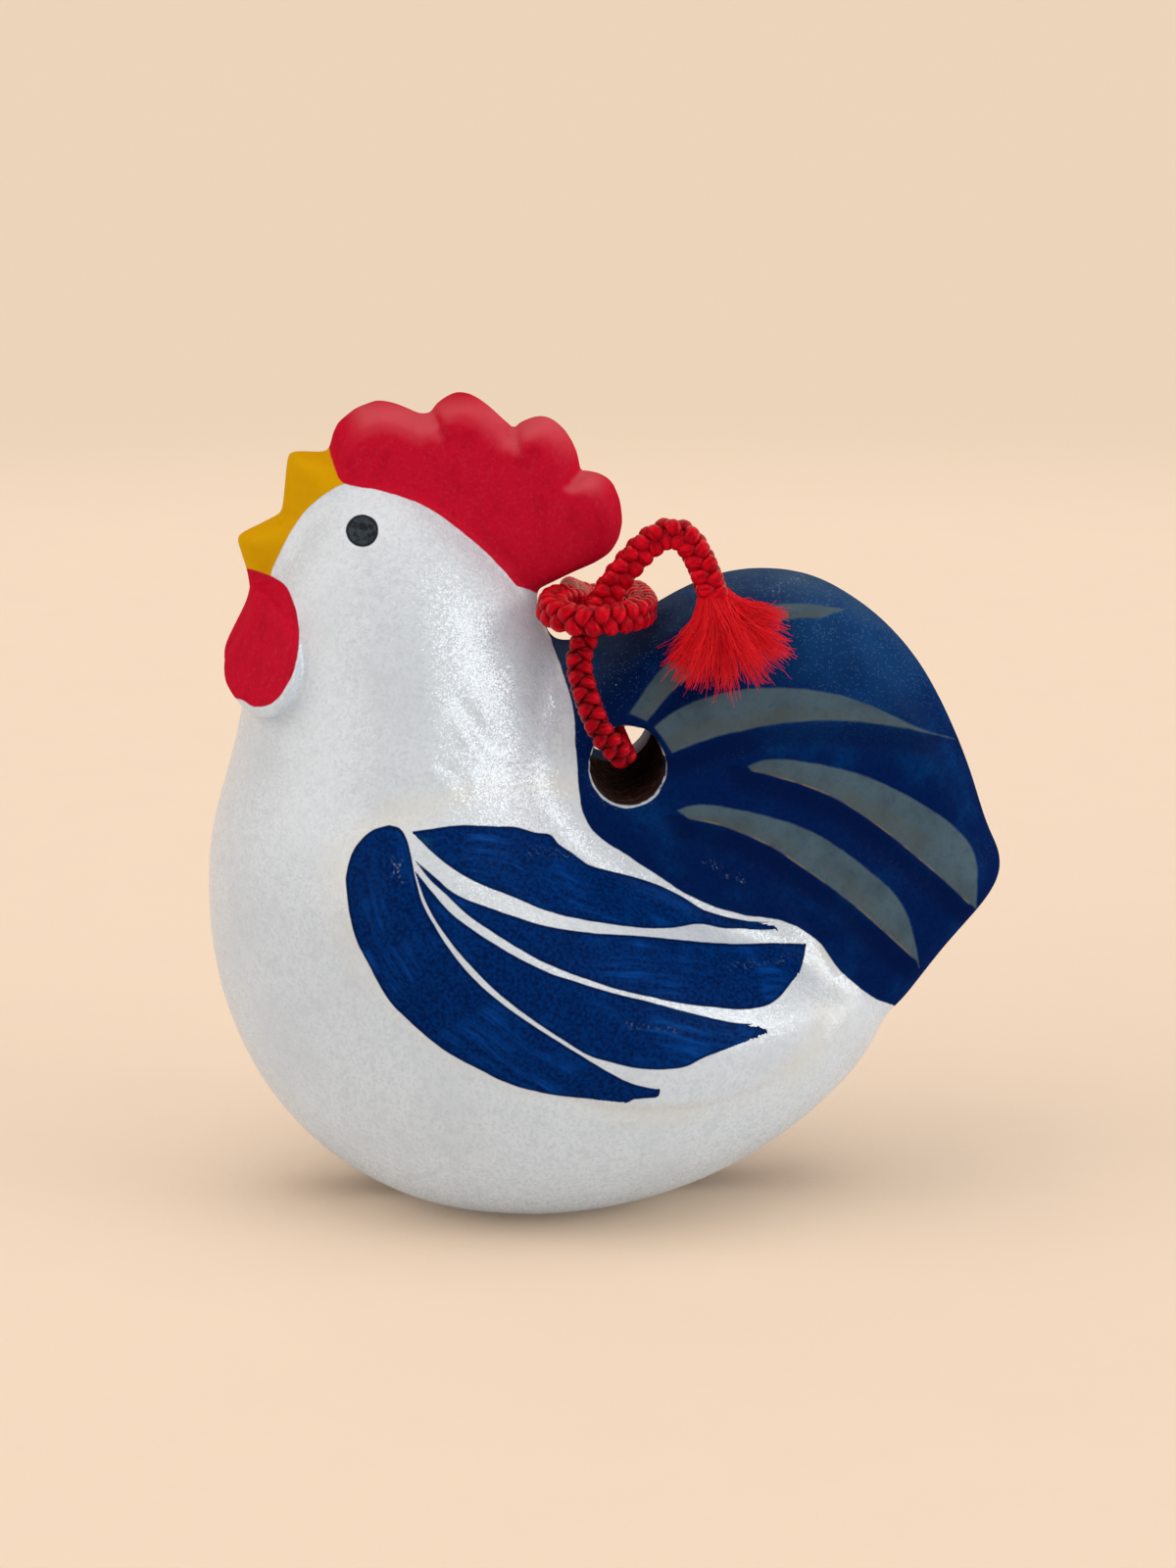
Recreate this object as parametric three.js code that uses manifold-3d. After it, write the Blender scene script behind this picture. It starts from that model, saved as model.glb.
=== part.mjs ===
// A clay rooster bell: two press-moulded halves luted together along the middle plane, a loose clay
// pellet in the hollow, and a braided cord tied through a hole at the root of the tail.
// Millimetres, +Z up. The rooster faces -X, its left side is -Y, and it stands on z = 0.

import * as THREE from 'three';
import { mergeVertices } from 'three/addons/utils/BufferGeometryUtils.js';
import Module from 'manifold-3d';

const wasm = await Module();
wasm.setup();

// Body
const BODY_HALF_WIDTH = 21;
const WIDEST_HEIGHT = 14;
const BREAST_REACH = 32.6;
const BREAST_HEIGHT = 25;
const RUMP_REACH = 23.4;
const RUMP_HEIGHT = 16;
const HEAD_TOP = 60.4;
const HEAD_X = -18.2;
const FOOT_FRONT = 12;
const FOOT_BACK = 0.6;
const FOOT_HALF_WIDTH = 6.8;

// How full each outline swells from the foot: 2 is a quarter ellipse, less is slacker
const BREAST_FULLNESS = 2;
const RUMP_FULLNESS = 1.6;
const FLANK_FULLNESS = 2;

// Place of the widest point in a level section, as a share of the way from breast to back
const WIDEST_SHARE = 0.47;

// Side outlines above the breast, the rump and the widest height, each row as the share of the rise
// to the top of the head and the distance behind the breast, before the rump or in from the flank
const THROAT_LINE = [[0.16, 0.4], [0.34, 2.2], [0.44, 3.0], [0.6, 3.8], [0.74, 4.8], [0.81, 6.1],
  [0.88, 7.6], [0.94, 9.5], [0.98, 11.8]];
const NAPE_LINE = [[0.03, 0.2], [0.07, 1.9], [0.13, 6.0], [0.2, 12.6], [0.27, 18.6], [0.34, 22.4],
  [0.42, 24.9], [0.52, 26.0], [0.64, 27.1], [0.7, 28.4], [0.76, 29.2], [0.8, 30.4], [0.85, 32.2],
  [0.915, 35.2], [0.965, 38.4]];
const FLANK_LINE = [[0.1, 0.3], [0.25, 1.8], [0.37, 4.0], [0.48, 6.0], [0.6, 7.8], [0.7, 9.3], [0.8, 11],
  [0.88, 13.1], [0.94, 15.3], [0.98, 17.7]];

// Wing pads, raised from the flanks inside a tilted ellipse with a soft edge
const WING_RELIEF = 1;
const WING_EDGE = [0.86, 1.08];
const WING_CENTRE = [-2.3, 24];
const WING_HALF_LENGTH = 19.5;
const WING_HALF_HEIGHT = 10.5;
const WING_TILT = -0.35;

// Hollow, sound slit and pellet
const WALL = 3.2;
const HOLLOW_TOP = 46;
const FLOOR_RADIUS = 29;
const SLIT_WIDTH = 5;
const SLIT_LENGTH = 30;
const PELLET_DIAMETER = 10;
const PELLET_CLEARANCE = 0.3;

// Comb, beak and wattle, with their outlines measured from the top of the head
const COMB_THICKNESS = 6.6;
const COMB_ROOT_THICKNESS = 7.6;
const COMB_EDGE_ROUND = 2.2;
const COMB_RIM = [[-3.2, -2.6], [-4.1, 0.7], [-3.4, 3.4], [-0.2, 5.2], [2.4, 4.4], [3.6, 3.9], [4.7, 4.9],
  [6.3, 5.8], [8, 5.2], [9.8, 3.6], [10.7, 2.9], [11.8, 3.4], [13.3, 3.8], [14.9, 2.6], [15.9, 0.7],
  [16.2, -0.7], [17.2, -0.8], [18.7, -1.6], [19.5, -4.8], [18.6, -7.2], [16, -8.5], [12.6, -10.2]];
const COMB_ROOT = [[-1, -3.4], [3, -3.4], [7, -5.2], [9, -9.6]];
const BEAK_THICKNESS = 4.4;
const BEAK_ROOT_THICKNESS = 10;
const BEAK_EDGE_ROUND = 1.2;
const BEAK_RIM = [[-8, -10.4], [-10.7, -8.9], [-11.7, -5.7], [-8, -3.9], [-7.4, 1.1], [-2.4, 0.9]];
const BEAK_ROOT = [[-5, -8.4], [-3, -5], [-0.5, -3]];
const WATTLE_REACH = 2.3;
const WATTLE_RELIEF = 1.3;
const WATTLE_NOTCH_HEIGHT = 6.5;
const WATTLE_NOTCH_WIDTH = 5.2;
const WATTLE_OUTLINE = [[-10.8, -8.8], [-9.2, -9.4], [-7.7, -10.8], [-6.9, -13.2], [-7, -15.8],
  [-8.2, -18.2], [-10, -19.2], [-11.8, -18.4], [-12.9, -16.7], [-12.8, -15.1], [-11.7, -13.4],
  [-10.8, -11.8], [-10.5, -10.2]];

// Tail, a fan whose rim and root are measured from the rump
const TAIL_ROOT_THICKNESS = 23;
const TAIL_EDGE_THICKNESS = 8;
const TAIL_EDGE_ROUND = 3.4;
const TAIL_RIM = [[-31, 29.4], [-26.2, 29.7], [-22, 31.1], [-17, 33.9], [-13.4, 35.2], [-9.7, 35.5],
  [-6.5, 34.9], [-3.4, 33.3], [-0.2, 30.7], [3.1, 26.3], [6.4, 19.1], [8.2, 13.8], [9.3, 11.2],
  [8.8, 9.3], [5, 4.4], [1, -0.8]];
const TAIL_ROOT = [[-32, 20], [-28, 16], [-22, 12], [-14, 4], [-8, 0]];
const FEATHER_COUNT = 5;
const FEATHER_RELIEF = 0.7;
const FEATHER_SWEEP = 0.16;

// Cord and its hole
const CORD_DIAMETER = 2.8;
const CORD_HOLE_DIAMETER = 6;
const CORD_HOLE_X = 1;
const CORD_HOLE_HEIGHT = 37.3;
const CORD_STEPS = 80;
const CORD_SIDES = 8;
const CORD_ROUTE = [
  [8, -8.6, 50.6], [7.4, -8.1, 52.4], [6.6, -7.6, 54.2], [5.6, -7.2, 55.5], [4.3, -6.9, 55.7],
  [2.9, -6.7, 54.9], [1.8, -6.6, 53.8], [0.4, -6.7, 52.1], [-0.7, -7, 50.6], [-1.7, -7.7, 49],
  [-2.4, -8.7, 47.6], [-2.9, -9.7, 46], [-2.6, -10.6, 44.2], [-2, -11.1, 42.3], [-1.2, -11.1, 40.5],
  [0.4, -9.8, 38.5], [0.45, -5, 38.4], [0.45, 0, 38.4], [0.45, 5, 38.4], [0.4, 9.8, 38.5],
  [0.6, 11.1, 40.3], [0.9, 10.7, 42.4], [1.2, 8.7, 45.3], [1.5, 5.5, 47.9], [2, 1.8, 49.2],
  [2.4, -2.4, 49.5], [2.4, -6.2, 49.5], [1.2, -9.4, 49.6], [-0.9, -11, 49.6], [-3.1, -11, 49.6],
  [-4.6, -9.3, 49.8], [-4.9, -7, 50], [-4.1, -4.8, 50], [-3, -2.4, 49.5], [-2.6, 1.2, 49],
  [-2.5, 5.6, 48.6], [-1.3, 10, 47.4], [1.4, 12.2, 46.4], [4.8, 11.7, 44.8], [7.4, 11.2, 42.9],
];

// Frayed ends
const TASSEL_LENGTH = 8;
const TASSEL_HALF_WIDTH = 4.8;
const TASSEL_HALF_DEPTH = 1.7;
const TASSEL_TUFTS = 7;
const TASSEL_TUFT_DEPTH = 0.16;
const TASSEL_FLARE_END = 0.8;
const TASSEL_GAP = 0.3;

// Facets: levels and points of each skin, stops from the root of a plate to its rim, turns round the rim
const BODY_LEVELS = 36;
const BODY_POINTS = 48;
const WATTLE_LEVELS = 18;
const WATTLE_POINTS = 40;
const HOLLOW_LEVELS = 16;
const HOLLOW_POINTS = 28;
const BOWL_POINTS = 36;
const HOLE_POINTS = 24;
const SLIT_END_POINTS = 6;
const PELLET_POINTS = 24;
const TASSEL_LEVELS = 8;
const TUFT_POINTS = 6;
const PLATE_STOPS = [0, 0.35, 0.7];
const RIM_TURNS = [0, 30, 55, 75];
const MERGE_DISTANCE = 1e-4;

// Colours and finishes
const clayPaint = new THREE.MeshStandardMaterial({ color: 0xe4e8e8, roughness: 0.45, metalness: 0 });
const bareClay = new THREE.MeshStandardMaterial({ color: 0x8a5a3c, roughness: 0.9, metalness: 0 });
const redBraid = new THREE.MeshStandardMaterial({ color: 0xb00a1e, roughness: 0.6, metalness: 0 });
const redFray = new THREE.MeshStandardMaterial({ color: 0xd82028, roughness: 0.7, metalness: 0 });

// A closed geometry as a solid that can be joined and cut
function solidOf(geometry) {
  const bare = geometry.clone();
  bare.deleteAttribute('normal');
  bare.deleteAttribute('uv');
  const merged = mergeVertices(bare, MERGE_DISTANCE);
  return new wasm.Manifold(new wasm.Mesh({
    numProp: 3,
    vertProperties: new Float32Array(merged.attributes.position.array),
    triVerts: new Uint32Array(merged.index.array),
  }));
}

// A solid as a geometry for a mesh
function geometryOf(solid) {
  const result = solid.getMesh();
  const geometry = new THREE.BufferGeometry();
  geometry.setAttribute('position', new THREE.BufferAttribute(new Float32Array(result.vertProperties), 3));
  geometry.setIndex(new THREE.BufferAttribute(new Uint32Array(result.triVerts), 1));
  return geometry;
}

// A smooth curve through rows of height and value, as a function of height
function heightCurve(rows) {
  const slopes = rows.map((row, i) => {
    const before = rows[Math.max(i - 1, 0)];
    const after = rows[Math.min(i + 1, rows.length - 1)];
    return (after[1] - before[1]) / (after[0] - before[0]);
  });
  return (z) => {
    let i = 0;
    while (i < rows.length - 2 && z > rows[i + 1][0]) i += 1;
    const span = rows[i + 1][0] - rows[i][0];
    const t = THREE.MathUtils.clamp((z - rows[i][0]) / span, 0, 1);
    const rise = rows[i + 1][1] - rows[i][1];
    const start = slopes[i] * span;
    const end = slopes[i + 1] * span;
    return rows[i][1] + t * (start + t * ((3 * rise - 2 * start - end) + t * (start + end - 2 * rise)));
  };
}

// An outline that swells from the foot to its widest height and then follows a curve to the head
function outline(foot, widest, widestHeight, fullness, line, top) {
  const rise = HEAD_TOP - widestHeight;
  const rows = [[widestHeight, widest]];
  for (const [share, inward] of line) rows.push([widestHeight + share * rise, widest - inward]);
  rows.push([HEAD_TOP, top]);
  const upper = heightCurve(rows);
  return (z) => {
    if (z >= widestHeight) return upper(Math.min(z, HEAD_TOP));
    const left = 1 - Math.max(z, 0) / widestHeight;
    return foot + (widest - foot) * (1 - left ** fullness) ** (1 / fullness);
  };
}

const breast = outline(FOOT_FRONT, BREAST_REACH, BREAST_HEIGHT, BREAST_FULLNESS, THROAT_LINE, -HEAD_X);
const back = outline(FOOT_BACK, RUMP_REACH, RUMP_HEIGHT, RUMP_FULLNESS, NAPE_LINE, HEAD_X);
const flank = outline(FOOT_HALF_WIDTH, BODY_HALF_WIDTH, WIDEST_HEIGHT, FLANK_FULLNESS, FLANK_LINE, 0);
const footMiddle = (FOOT_BACK - FOOT_FRONT) / 2;

// The outline moved inwards by a wall, or outwards by a relief
function moved(line, distance) {
  if (distance === 0) return line;
  const steps = 8;
  return (z) => {
    let best = distance > 0 ? Infinity : -Infinity;
    for (let i = -steps; i <= steps; i += 1) {
      const rise = (i / steps) * distance;
      const reach = Math.sqrt(distance * distance - rise * rise);
      const value = distance > 0 ? line(z + rise) - reach : line(z + rise) + reach;
      best = distance > 0 ? Math.min(best, value) : Math.max(best, value);
    }
    return best;
  };
}

// Height of the raised wing pad at a point of the flank
function wingPad(x, z) {
  const dx = x - WING_CENTRE[0];
  const dz = z - WING_CENTRE[1];
  const along = (dx * Math.cos(WING_TILT) + dz * Math.sin(WING_TILT)) / WING_HALF_LENGTH;
  const across = (dz * Math.cos(WING_TILT) - dx * Math.sin(WING_TILT)) / WING_HALF_HEIGHT;
  return WING_RELIEF * (1 - THREE.MathUtils.smoothstep(Math.hypot(along, across), ...WING_EDGE));
}

// One level section of the body, as a ring of points that is widest a little ahead of its middle
function section(z, inset, sideInset, count) {
  const front = -moved(breast, inset)(z);
  const rear = moved(back, inset)(z);
  const half = moved(flank, sideInset)(z);
  const widest = front + WIDEST_SHARE * (rear - front);
  const ring = [];
  for (let i = 0; i < count; i += 1) {
    const turn = (2 * Math.PI * i) / count;
    const reach = Math.cos(turn);
    const x = widest + (reach < 0 ? widest - front : rear - widest) * reach;
    const side = i === 0 || 2 * i === count ? 0 : Math.sin(turn);
    const pad = inset === 0 ? wingPad(x, z) * Math.abs(side) : 0;
    ring.push(new THREE.Vector3(x, side * half + Math.sign(side) * pad, z));
  }
  return ring;
}

// A closed skin over a row of rings, each ring with the same number of points
function loft(rings) {
  const count = rings[0].length;
  const points = rings.flat();
  const faces = [];
  for (let r = 0; r + 1 < rings.length; r += 1) {
    for (let i = 0; i < count; i += 1) {
      const a = r * count + i;
      const b = r * count + ((i + 1) % count);
      faces.push(a, b, b + count, a, b + count, a + count);
    }
  }
  for (const r of [0, rings.length - 1]) {
    const middle = new THREE.Vector3();
    for (const point of rings[r]) middle.addScaledVector(point, 1 / count);
    const tip = points.push(middle) - 1;
    for (let i = 0; i < count; i += 1) {
      const a = r * count + i;
      const b = r * count + ((i + 1) % count);
      if (r === 0) faces.push(tip, b, a);
      else faces.push(tip, a, b);
    }
  }
  const geometry = new THREE.BufferGeometry();
  geometry.setFromPoints(points);
  geometry.setIndex(faces);
  return geometry;
}

// Body, neck and head as level sections from the foot to the crown, closer together at both ends
function bodySolid(inset, sideInset, [low, high], levels, count) {
  const rings = [];
  for (let i = 0; i <= levels; i += 1) {
    const share = (1 - Math.cos((Math.PI * i) / levels)) / 2;
    rings.push(section(low + share * (high - low), inset, sideInset, count));
  }
  return solidOf(loft(rings));
}

// Points of an outline in the middle plane, measured from a place on the body
function middlePoints(points, x, z) {
  return points.map((point) => new THREE.Vector3(x + point[0], 0, z + point[1]));
}

// A smooth row of points through an outline, and a row that keeps its corners
function smoothRow(points, parts) {
  return new THREE.CatmullRomCurve3(points, false, 'centripetal').getPoints((points.length - 1) * parts);
}

function corneredRow(points, parts) {
  const row = [points[0]];
  for (let i = 0; i + 1 < points.length; i += 1) {
    for (let k = 1; k <= parts; k += 1) row.push(points[i].clone().lerp(points[i + 1], k / parts));
  }
  return row;
}

// A plate in the middle plane that spreads from a root inside the body to a round rim:
// each ring runs from the root to the rim on one side and back on the other
function fanSolid(rim, root, rootThickness, rimThickness, rimRound, ridgeAt) {
  const rootCurve = new THREE.CatmullRomCurve3(root, false, 'centripetal');
  const rings = rim.map((outer, r) => {
    const share = r / (rim.length - 1);
    const inner = rootCurve.getPoint(share);
    const flatEnd = 1 - rimRound / outer.distanceTo(inner);
    const stops = PLATE_STOPS.map((part) => [part * flatEnd, 1]);
    for (const turn of RIM_TURNS) {
      const angle = THREE.MathUtils.degToRad(turn);
      stops.push([flatEnd + (1 - flatEnd) * Math.sin(angle), Math.cos(angle)]);
    }
    const near = [];
    const far = [];
    for (const [t, full] of stops) {
      const half = THREE.MathUtils.lerp(rootThickness, rimThickness, t) / 2 + ridgeAt(share, t);
      const point = inner.clone().lerp(outer, t);
      far.push(point.clone().setY(half * full));
      near.unshift(point.clone().setY(-half * full));
    }
    return [...far, outer, ...near];
  });
  return solidOf(loft(rings));
}

function plain() {
  return 0;
}

function combSolid() {
  const rim = smoothRow(middlePoints(COMB_RIM, HEAD_X, HEAD_TOP), 2);
  const root = middlePoints(COMB_ROOT, HEAD_X, HEAD_TOP);
  return fanSolid(rim, root, COMB_ROOT_THICKNESS, COMB_THICKNESS, COMB_EDGE_ROUND, plain);
}

function beakSolid() {
  const rim = corneredRow(middlePoints(BEAK_RIM, HEAD_X, HEAD_TOP), 3);
  const root = middlePoints(BEAK_ROOT, HEAD_X, HEAD_TOP);
  return fanSolid(rim, root, BEAK_ROOT_THICKNESS, BEAK_THICKNESS, BEAK_EDGE_ROUND, plain);
}

function tailSolid() {
  const rim = smoothRow(middlePoints(TAIL_RIM, RUMP_REACH, RUMP_HEIGHT), 3);
  const root = middlePoints(TAIL_ROOT, RUMP_REACH, RUMP_HEIGHT);
  const feathers = (share, t) => {
    const place = FEATHER_COUNT * (share - FEATHER_SWEEP * t * t);
    return FEATHER_RELIEF * t * Math.abs(Math.sin(Math.PI * place));
  };
  return fanSolid(rim, root, TAIL_ROOT_THICKNESS, TAIL_EDGE_THICKNESS, TAIL_EDGE_ROUND, feathers);
}

// The wattle: a lobe raised from the throat on each side
function wattleSolid() {
  const span = [BREAST_HEIGHT, HEAD_TOP];
  const swollen = bodySolid(-WATTLE_REACH, -WATTLE_RELIEF, span, WATTLE_LEVELS, WATTLE_POINTS);
  const shape = new THREE.Shape(WATTLE_OUTLINE.map(([x, z]) => new THREE.Vector2(x, z)));
  const punch = new THREE.ExtrudeGeometry(shape, { depth: 2 * BODY_HALF_WIDTH, bevelEnabled: false });
  punch.translate(HEAD_X, HEAD_TOP, -BODY_HALF_WIDTH);
  punch.rotateX(Math.PI / 2);
  return swollen.intersect(solidOf(punch)).subtract(wattleNotchSolid());
}

// The notch from below that parts the wattle into two lobes at the middle plane
function wattleNotchSolid() {
  const low = HEAD_TOP + Math.min(...WATTLE_OUTLINE.map((point) => point[1]));
  const shape = new THREE.Shape();
  shape.moveTo(-WATTLE_NOTCH_WIDTH / 2, low);
  shape.lineTo(WATTLE_NOTCH_WIDTH / 2, low);
  shape.lineTo(0, low + WATTLE_NOTCH_HEIGHT);
  const wedge = new THREE.ExtrudeGeometry(shape, { depth: 2 * BREAST_REACH, bevelEnabled: false });
  const [x, y, z] = [0, 1, 2].map((axis) => new THREE.Vector3().setComponent(axis, 1));
  wedge.applyMatrix4(new THREE.Matrix4().makeBasis(y, z, x));
  wedge.translate(-2 * BREAST_REACH, 0, 0);
  return solidOf(wedge);
}

// Height of the bowl-shaped floor of the hollow at a distance from its middle
function floorHeight(distance) {
  return WALL + FLOOR_RADIUS - Math.sqrt(FLOOR_RADIUS ** 2 - distance ** 2);
}

// A slot with round ends through the floor of the hollow, as long as the sound slit
function slitSolid() {
  const half = SLIT_WIDTH / 2;
  const run = SLIT_LENGTH / 2 - half;
  const shape = new THREE.Shape();
  shape.absarc(run, 0, half, -Math.PI / 2, Math.PI / 2, false);
  shape.absarc(-run, 0, half, Math.PI / 2, 1.5 * Math.PI, false);
  const slot = new THREE.ExtrudeGeometry(shape, {
    depth: floorHeight(SLIT_LENGTH / 2) + 2 * WALL,
    bevelEnabled: false,
    curveSegments: SLIT_END_POINTS,
  });
  slot.translate(footMiddle, 0, -WALL);
  return solidOf(slot);
}

// The hollow: the body moved in by the wall, with a floor rounded like a bowl
function hollowSolid() {
  const inside = bodySolid(WALL, WALL, [WALL / 2, HOLLOW_TOP], HOLLOW_LEVELS, HOLLOW_POINTS);
  const bowl = new THREE.SphereGeometry(FLOOR_RADIUS, BOWL_POINTS, BOWL_POINTS);
  bowl.rotateX(Math.PI / 2);
  bowl.translate(footMiddle, 0, WALL + FLOOR_RADIUS);
  return inside.intersect(solidOf(bowl));
}

// The cord hole through the root of the tail
function cordHoleSolid() {
  const radius = CORD_HOLE_DIAMETER / 2;
  const hole = new THREE.CylinderGeometry(radius, radius, 2 * BODY_HALF_WIDTH, HOLE_POINTS);
  hole.translate(CORD_HOLE_X, 0, CORD_HOLE_HEIGHT);
  return solidOf(hole);
}

// One half of the bell: everything on one side of the middle plane
function halfSpace(side) {
  const reach = 4 * BREAST_REACH;
  const box = new THREE.BoxGeometry(2 * reach, reach, 2 * reach);
  box.translate(0, (side * reach) / 2, 0);
  return solidOf(box);
}

function addMesh(group, name, geometry, material) {
  geometry.computeVertexNormals();
  const mesh = new THREE.Mesh(geometry, material);
  mesh.name = name;
  group.add(mesh);
  return mesh;
}

const bell = new THREE.Group();

// The two moulded halves
const rooster = bodySolid(0, 0, [0, HEAD_TOP], BODY_LEVELS, BODY_POINTS)
  .add(tailSolid())
  .add(combSolid())
  .add(beakSolid())
  .add(wattleSolid())
  .subtract(hollowSolid())
  .subtract(cordHoleSolid())
  .subtract(slitSolid());
addMesh(bell, 'shell_left', geometryOf(rooster.intersect(halfSpace(-1))), clayPaint);
addMesh(bell, 'shell_right', geometryOf(rooster.intersect(halfSpace(1))), clayPaint);

// The pellet rests on the two edges of the slit
const pelletRadius = PELLET_DIAMETER / 2;
const floorSink = pelletRadius - Math.sqrt(pelletRadius ** 2 - (SLIT_WIDTH / 2) ** 2);
const ball = new THREE.SphereGeometry(pelletRadius, PELLET_POINTS, PELLET_POINTS / 2);
const pellet = addMesh(bell, 'clay_pellet', ball, bareClay);
pellet.position.set(footMiddle, 0, WALL + pelletRadius - floorSink + PELLET_CLEARANCE);

// The cord, one round tube along its route
const cordStops = CORD_ROUTE.map((stop) => new THREE.Vector3(...stop));
const cordCurve = new THREE.CatmullRomCurve3(cordStops, false, 'centripetal');
const cordSection = new THREE.Shape();
cordSection.absarc(0, 0, CORD_DIAMETER / 2, 0, 2 * Math.PI, false);
const cord = new THREE.ExtrudeGeometry(cordSection, {
  steps: CORD_STEPS,
  extrudePath: cordCurve,
  curveSegments: Math.round(CORD_SIDES / 2),
});
addMesh(bell, 'cord', cord, redBraid);

// A frayed end: a bunch of tufts that flares away from the end of the cord
function tassel(end, outward) {
  const rings = [];
  const count = TUFT_POINTS * TASSEL_TUFTS;
  const side = new THREE.Vector3(0, 1, 0).cross(outward).normalize();
  const depth = outward.clone().cross(side).normalize();
  for (let r = 0; r <= TASSEL_LEVELS; r += 1) {
    const share = r / TASSEL_LEVELS;
    const flare = Math.sin((Math.min(1, share / TASSEL_FLARE_END) * Math.PI) / 2);
    const middle = end.clone().addScaledVector(outward, TASSEL_GAP + share * TASSEL_LENGTH);
    const ring = [];
    for (let i = 0; i < count; i += 1) {
      const turn = (2 * Math.PI * i) / count;
      const tuft = 1 - TASSEL_TUFT_DEPTH * share * (1 - Math.cos(TASSEL_TUFTS * turn));
      const wide = THREE.MathUtils.lerp(CORD_DIAMETER / 2, TASSEL_HALF_WIDTH, flare) * tuft;
      const deep = THREE.MathUtils.lerp(CORD_DIAMETER / 2, TASSEL_HALF_DEPTH, flare) * tuft;
      const point = middle.clone().addScaledVector(side, wide * Math.cos(turn));
      ring.push(point.addScaledVector(depth, deep * Math.sin(turn)));
    }
    rings.push(ring);
  }
  return loft(rings);
}

addMesh(bell, 'tassel_left', tassel(cordCurve.getPoint(0), cordCurve.getTangent(0).negate()), redFray);
addMesh(bell, 'tassel_right', tassel(cordCurve.getPoint(1), cordCurve.getTangent(1)), redFray);

// Least gap of the cord to itself, measured between points that are well apart along it
const cordLength = cordCurve.getLength();
const cordPoints = cordCurve.getSpacedPoints(3 * CORD_STEPS);
const wellApart = Math.ceil((2.5 * CORD_DIAMETER * cordPoints.length) / cordLength);
let leastGap = Infinity;
for (let i = 0; i < cordPoints.length; i += 1) {
  for (let j = i + wellApart; j < cordPoints.length; j += 1) {
    leastGap = Math.min(leastGap, cordPoints[i].distanceTo(cordPoints[j]) - CORD_DIAMETER);
  }
}
console.log(`cord length ${cordLength.toFixed(1)} mm, least gap to itself ${leastGap.toFixed(2)} mm`);

export default bell;
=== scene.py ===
"""A clay rooster bell: two painted shell halves, a clay pellet and a braided cord with frayed ends."""
import math

import bmesh
import bpy
import numpy as np
from mathutils import Matrix, Vector
from mathutils.bvhtree import BVHTree


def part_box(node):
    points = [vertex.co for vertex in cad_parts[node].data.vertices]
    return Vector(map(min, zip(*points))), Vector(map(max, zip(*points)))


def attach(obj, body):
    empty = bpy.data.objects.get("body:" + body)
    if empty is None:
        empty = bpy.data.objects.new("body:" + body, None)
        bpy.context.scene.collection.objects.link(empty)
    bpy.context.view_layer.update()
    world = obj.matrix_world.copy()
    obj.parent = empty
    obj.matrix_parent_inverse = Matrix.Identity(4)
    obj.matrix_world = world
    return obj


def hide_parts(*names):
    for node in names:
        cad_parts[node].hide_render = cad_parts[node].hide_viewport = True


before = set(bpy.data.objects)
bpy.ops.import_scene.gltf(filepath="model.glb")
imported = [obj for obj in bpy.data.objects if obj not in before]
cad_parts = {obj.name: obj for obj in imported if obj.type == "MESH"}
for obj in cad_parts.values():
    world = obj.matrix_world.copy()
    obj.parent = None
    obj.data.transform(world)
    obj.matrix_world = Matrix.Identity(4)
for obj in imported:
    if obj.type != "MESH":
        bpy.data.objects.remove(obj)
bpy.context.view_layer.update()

MM = 0.001

# Camera, with pixels in a frame of 1200 by 1600
FRAME_WIDTH = 1200
FRAME_HEIGHT = 1600
FOCAL_PIXELS = 5250
SENSOR = 36
VIEW_TURN = math.radians(4)
VIEW_TILT = math.radians(13)
VIEW_DISTANCE = 420 * MM
VIEW_TARGET = np.array((-1.5, 0, 33.8)) * MM

# Edges of the painted areas, in pixels of that frame
COMB_EDGE = [(337, 465), (348, 491), (358, 495), (388, 501), (430, 515), (464, 537), (503, 571), (527, 598)]
COMB_BEYOND = [(540, 602), (551, 607), (585, 614), (645, 575), (645, 380), (325, 380)]
BEAK_EDGE = [(354, 492), (335, 502), (315, 518), (301, 536), (287, 561), (278, 581), (276, 591)]
BEAK_BEYOND = [(256, 584), (225, 580), (225, 440), (330, 440), (345, 463)]
WATTLE_EDGE = [(276, 591), (287, 598), (296, 615), (301, 637), (301, 662), (296, 685), (286, 704),
               (275, 715), (262, 718), (248, 711)]
WATTLE_BEYOND = [(228, 706), (205, 670), (205, 600), (235, 582), (256, 584)]
EYE_CENTRE = (369.6, 541.5)
EYE_RADIUS = 16.6
TAIL_EDGE = [(549, 609), (556, 637), (563, 655), (572, 680), (580, 704), (586, 730), (587, 756), (589, 781),
             (591, 808), (595, 829), (603, 845), (617, 858), (638, 872), (672, 894), (698, 911), (726, 924),
             (756, 933), (799, 940), (822, 951), (838, 964), (854, 987), (871, 1003), (893, 1019),
             (912, 1026)]
TAIL_BEYOND = [(945, 1055), (1110, 950), (1110, 540), (650, 540), (640, 568), (592, 606), (562, 603)]

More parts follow.
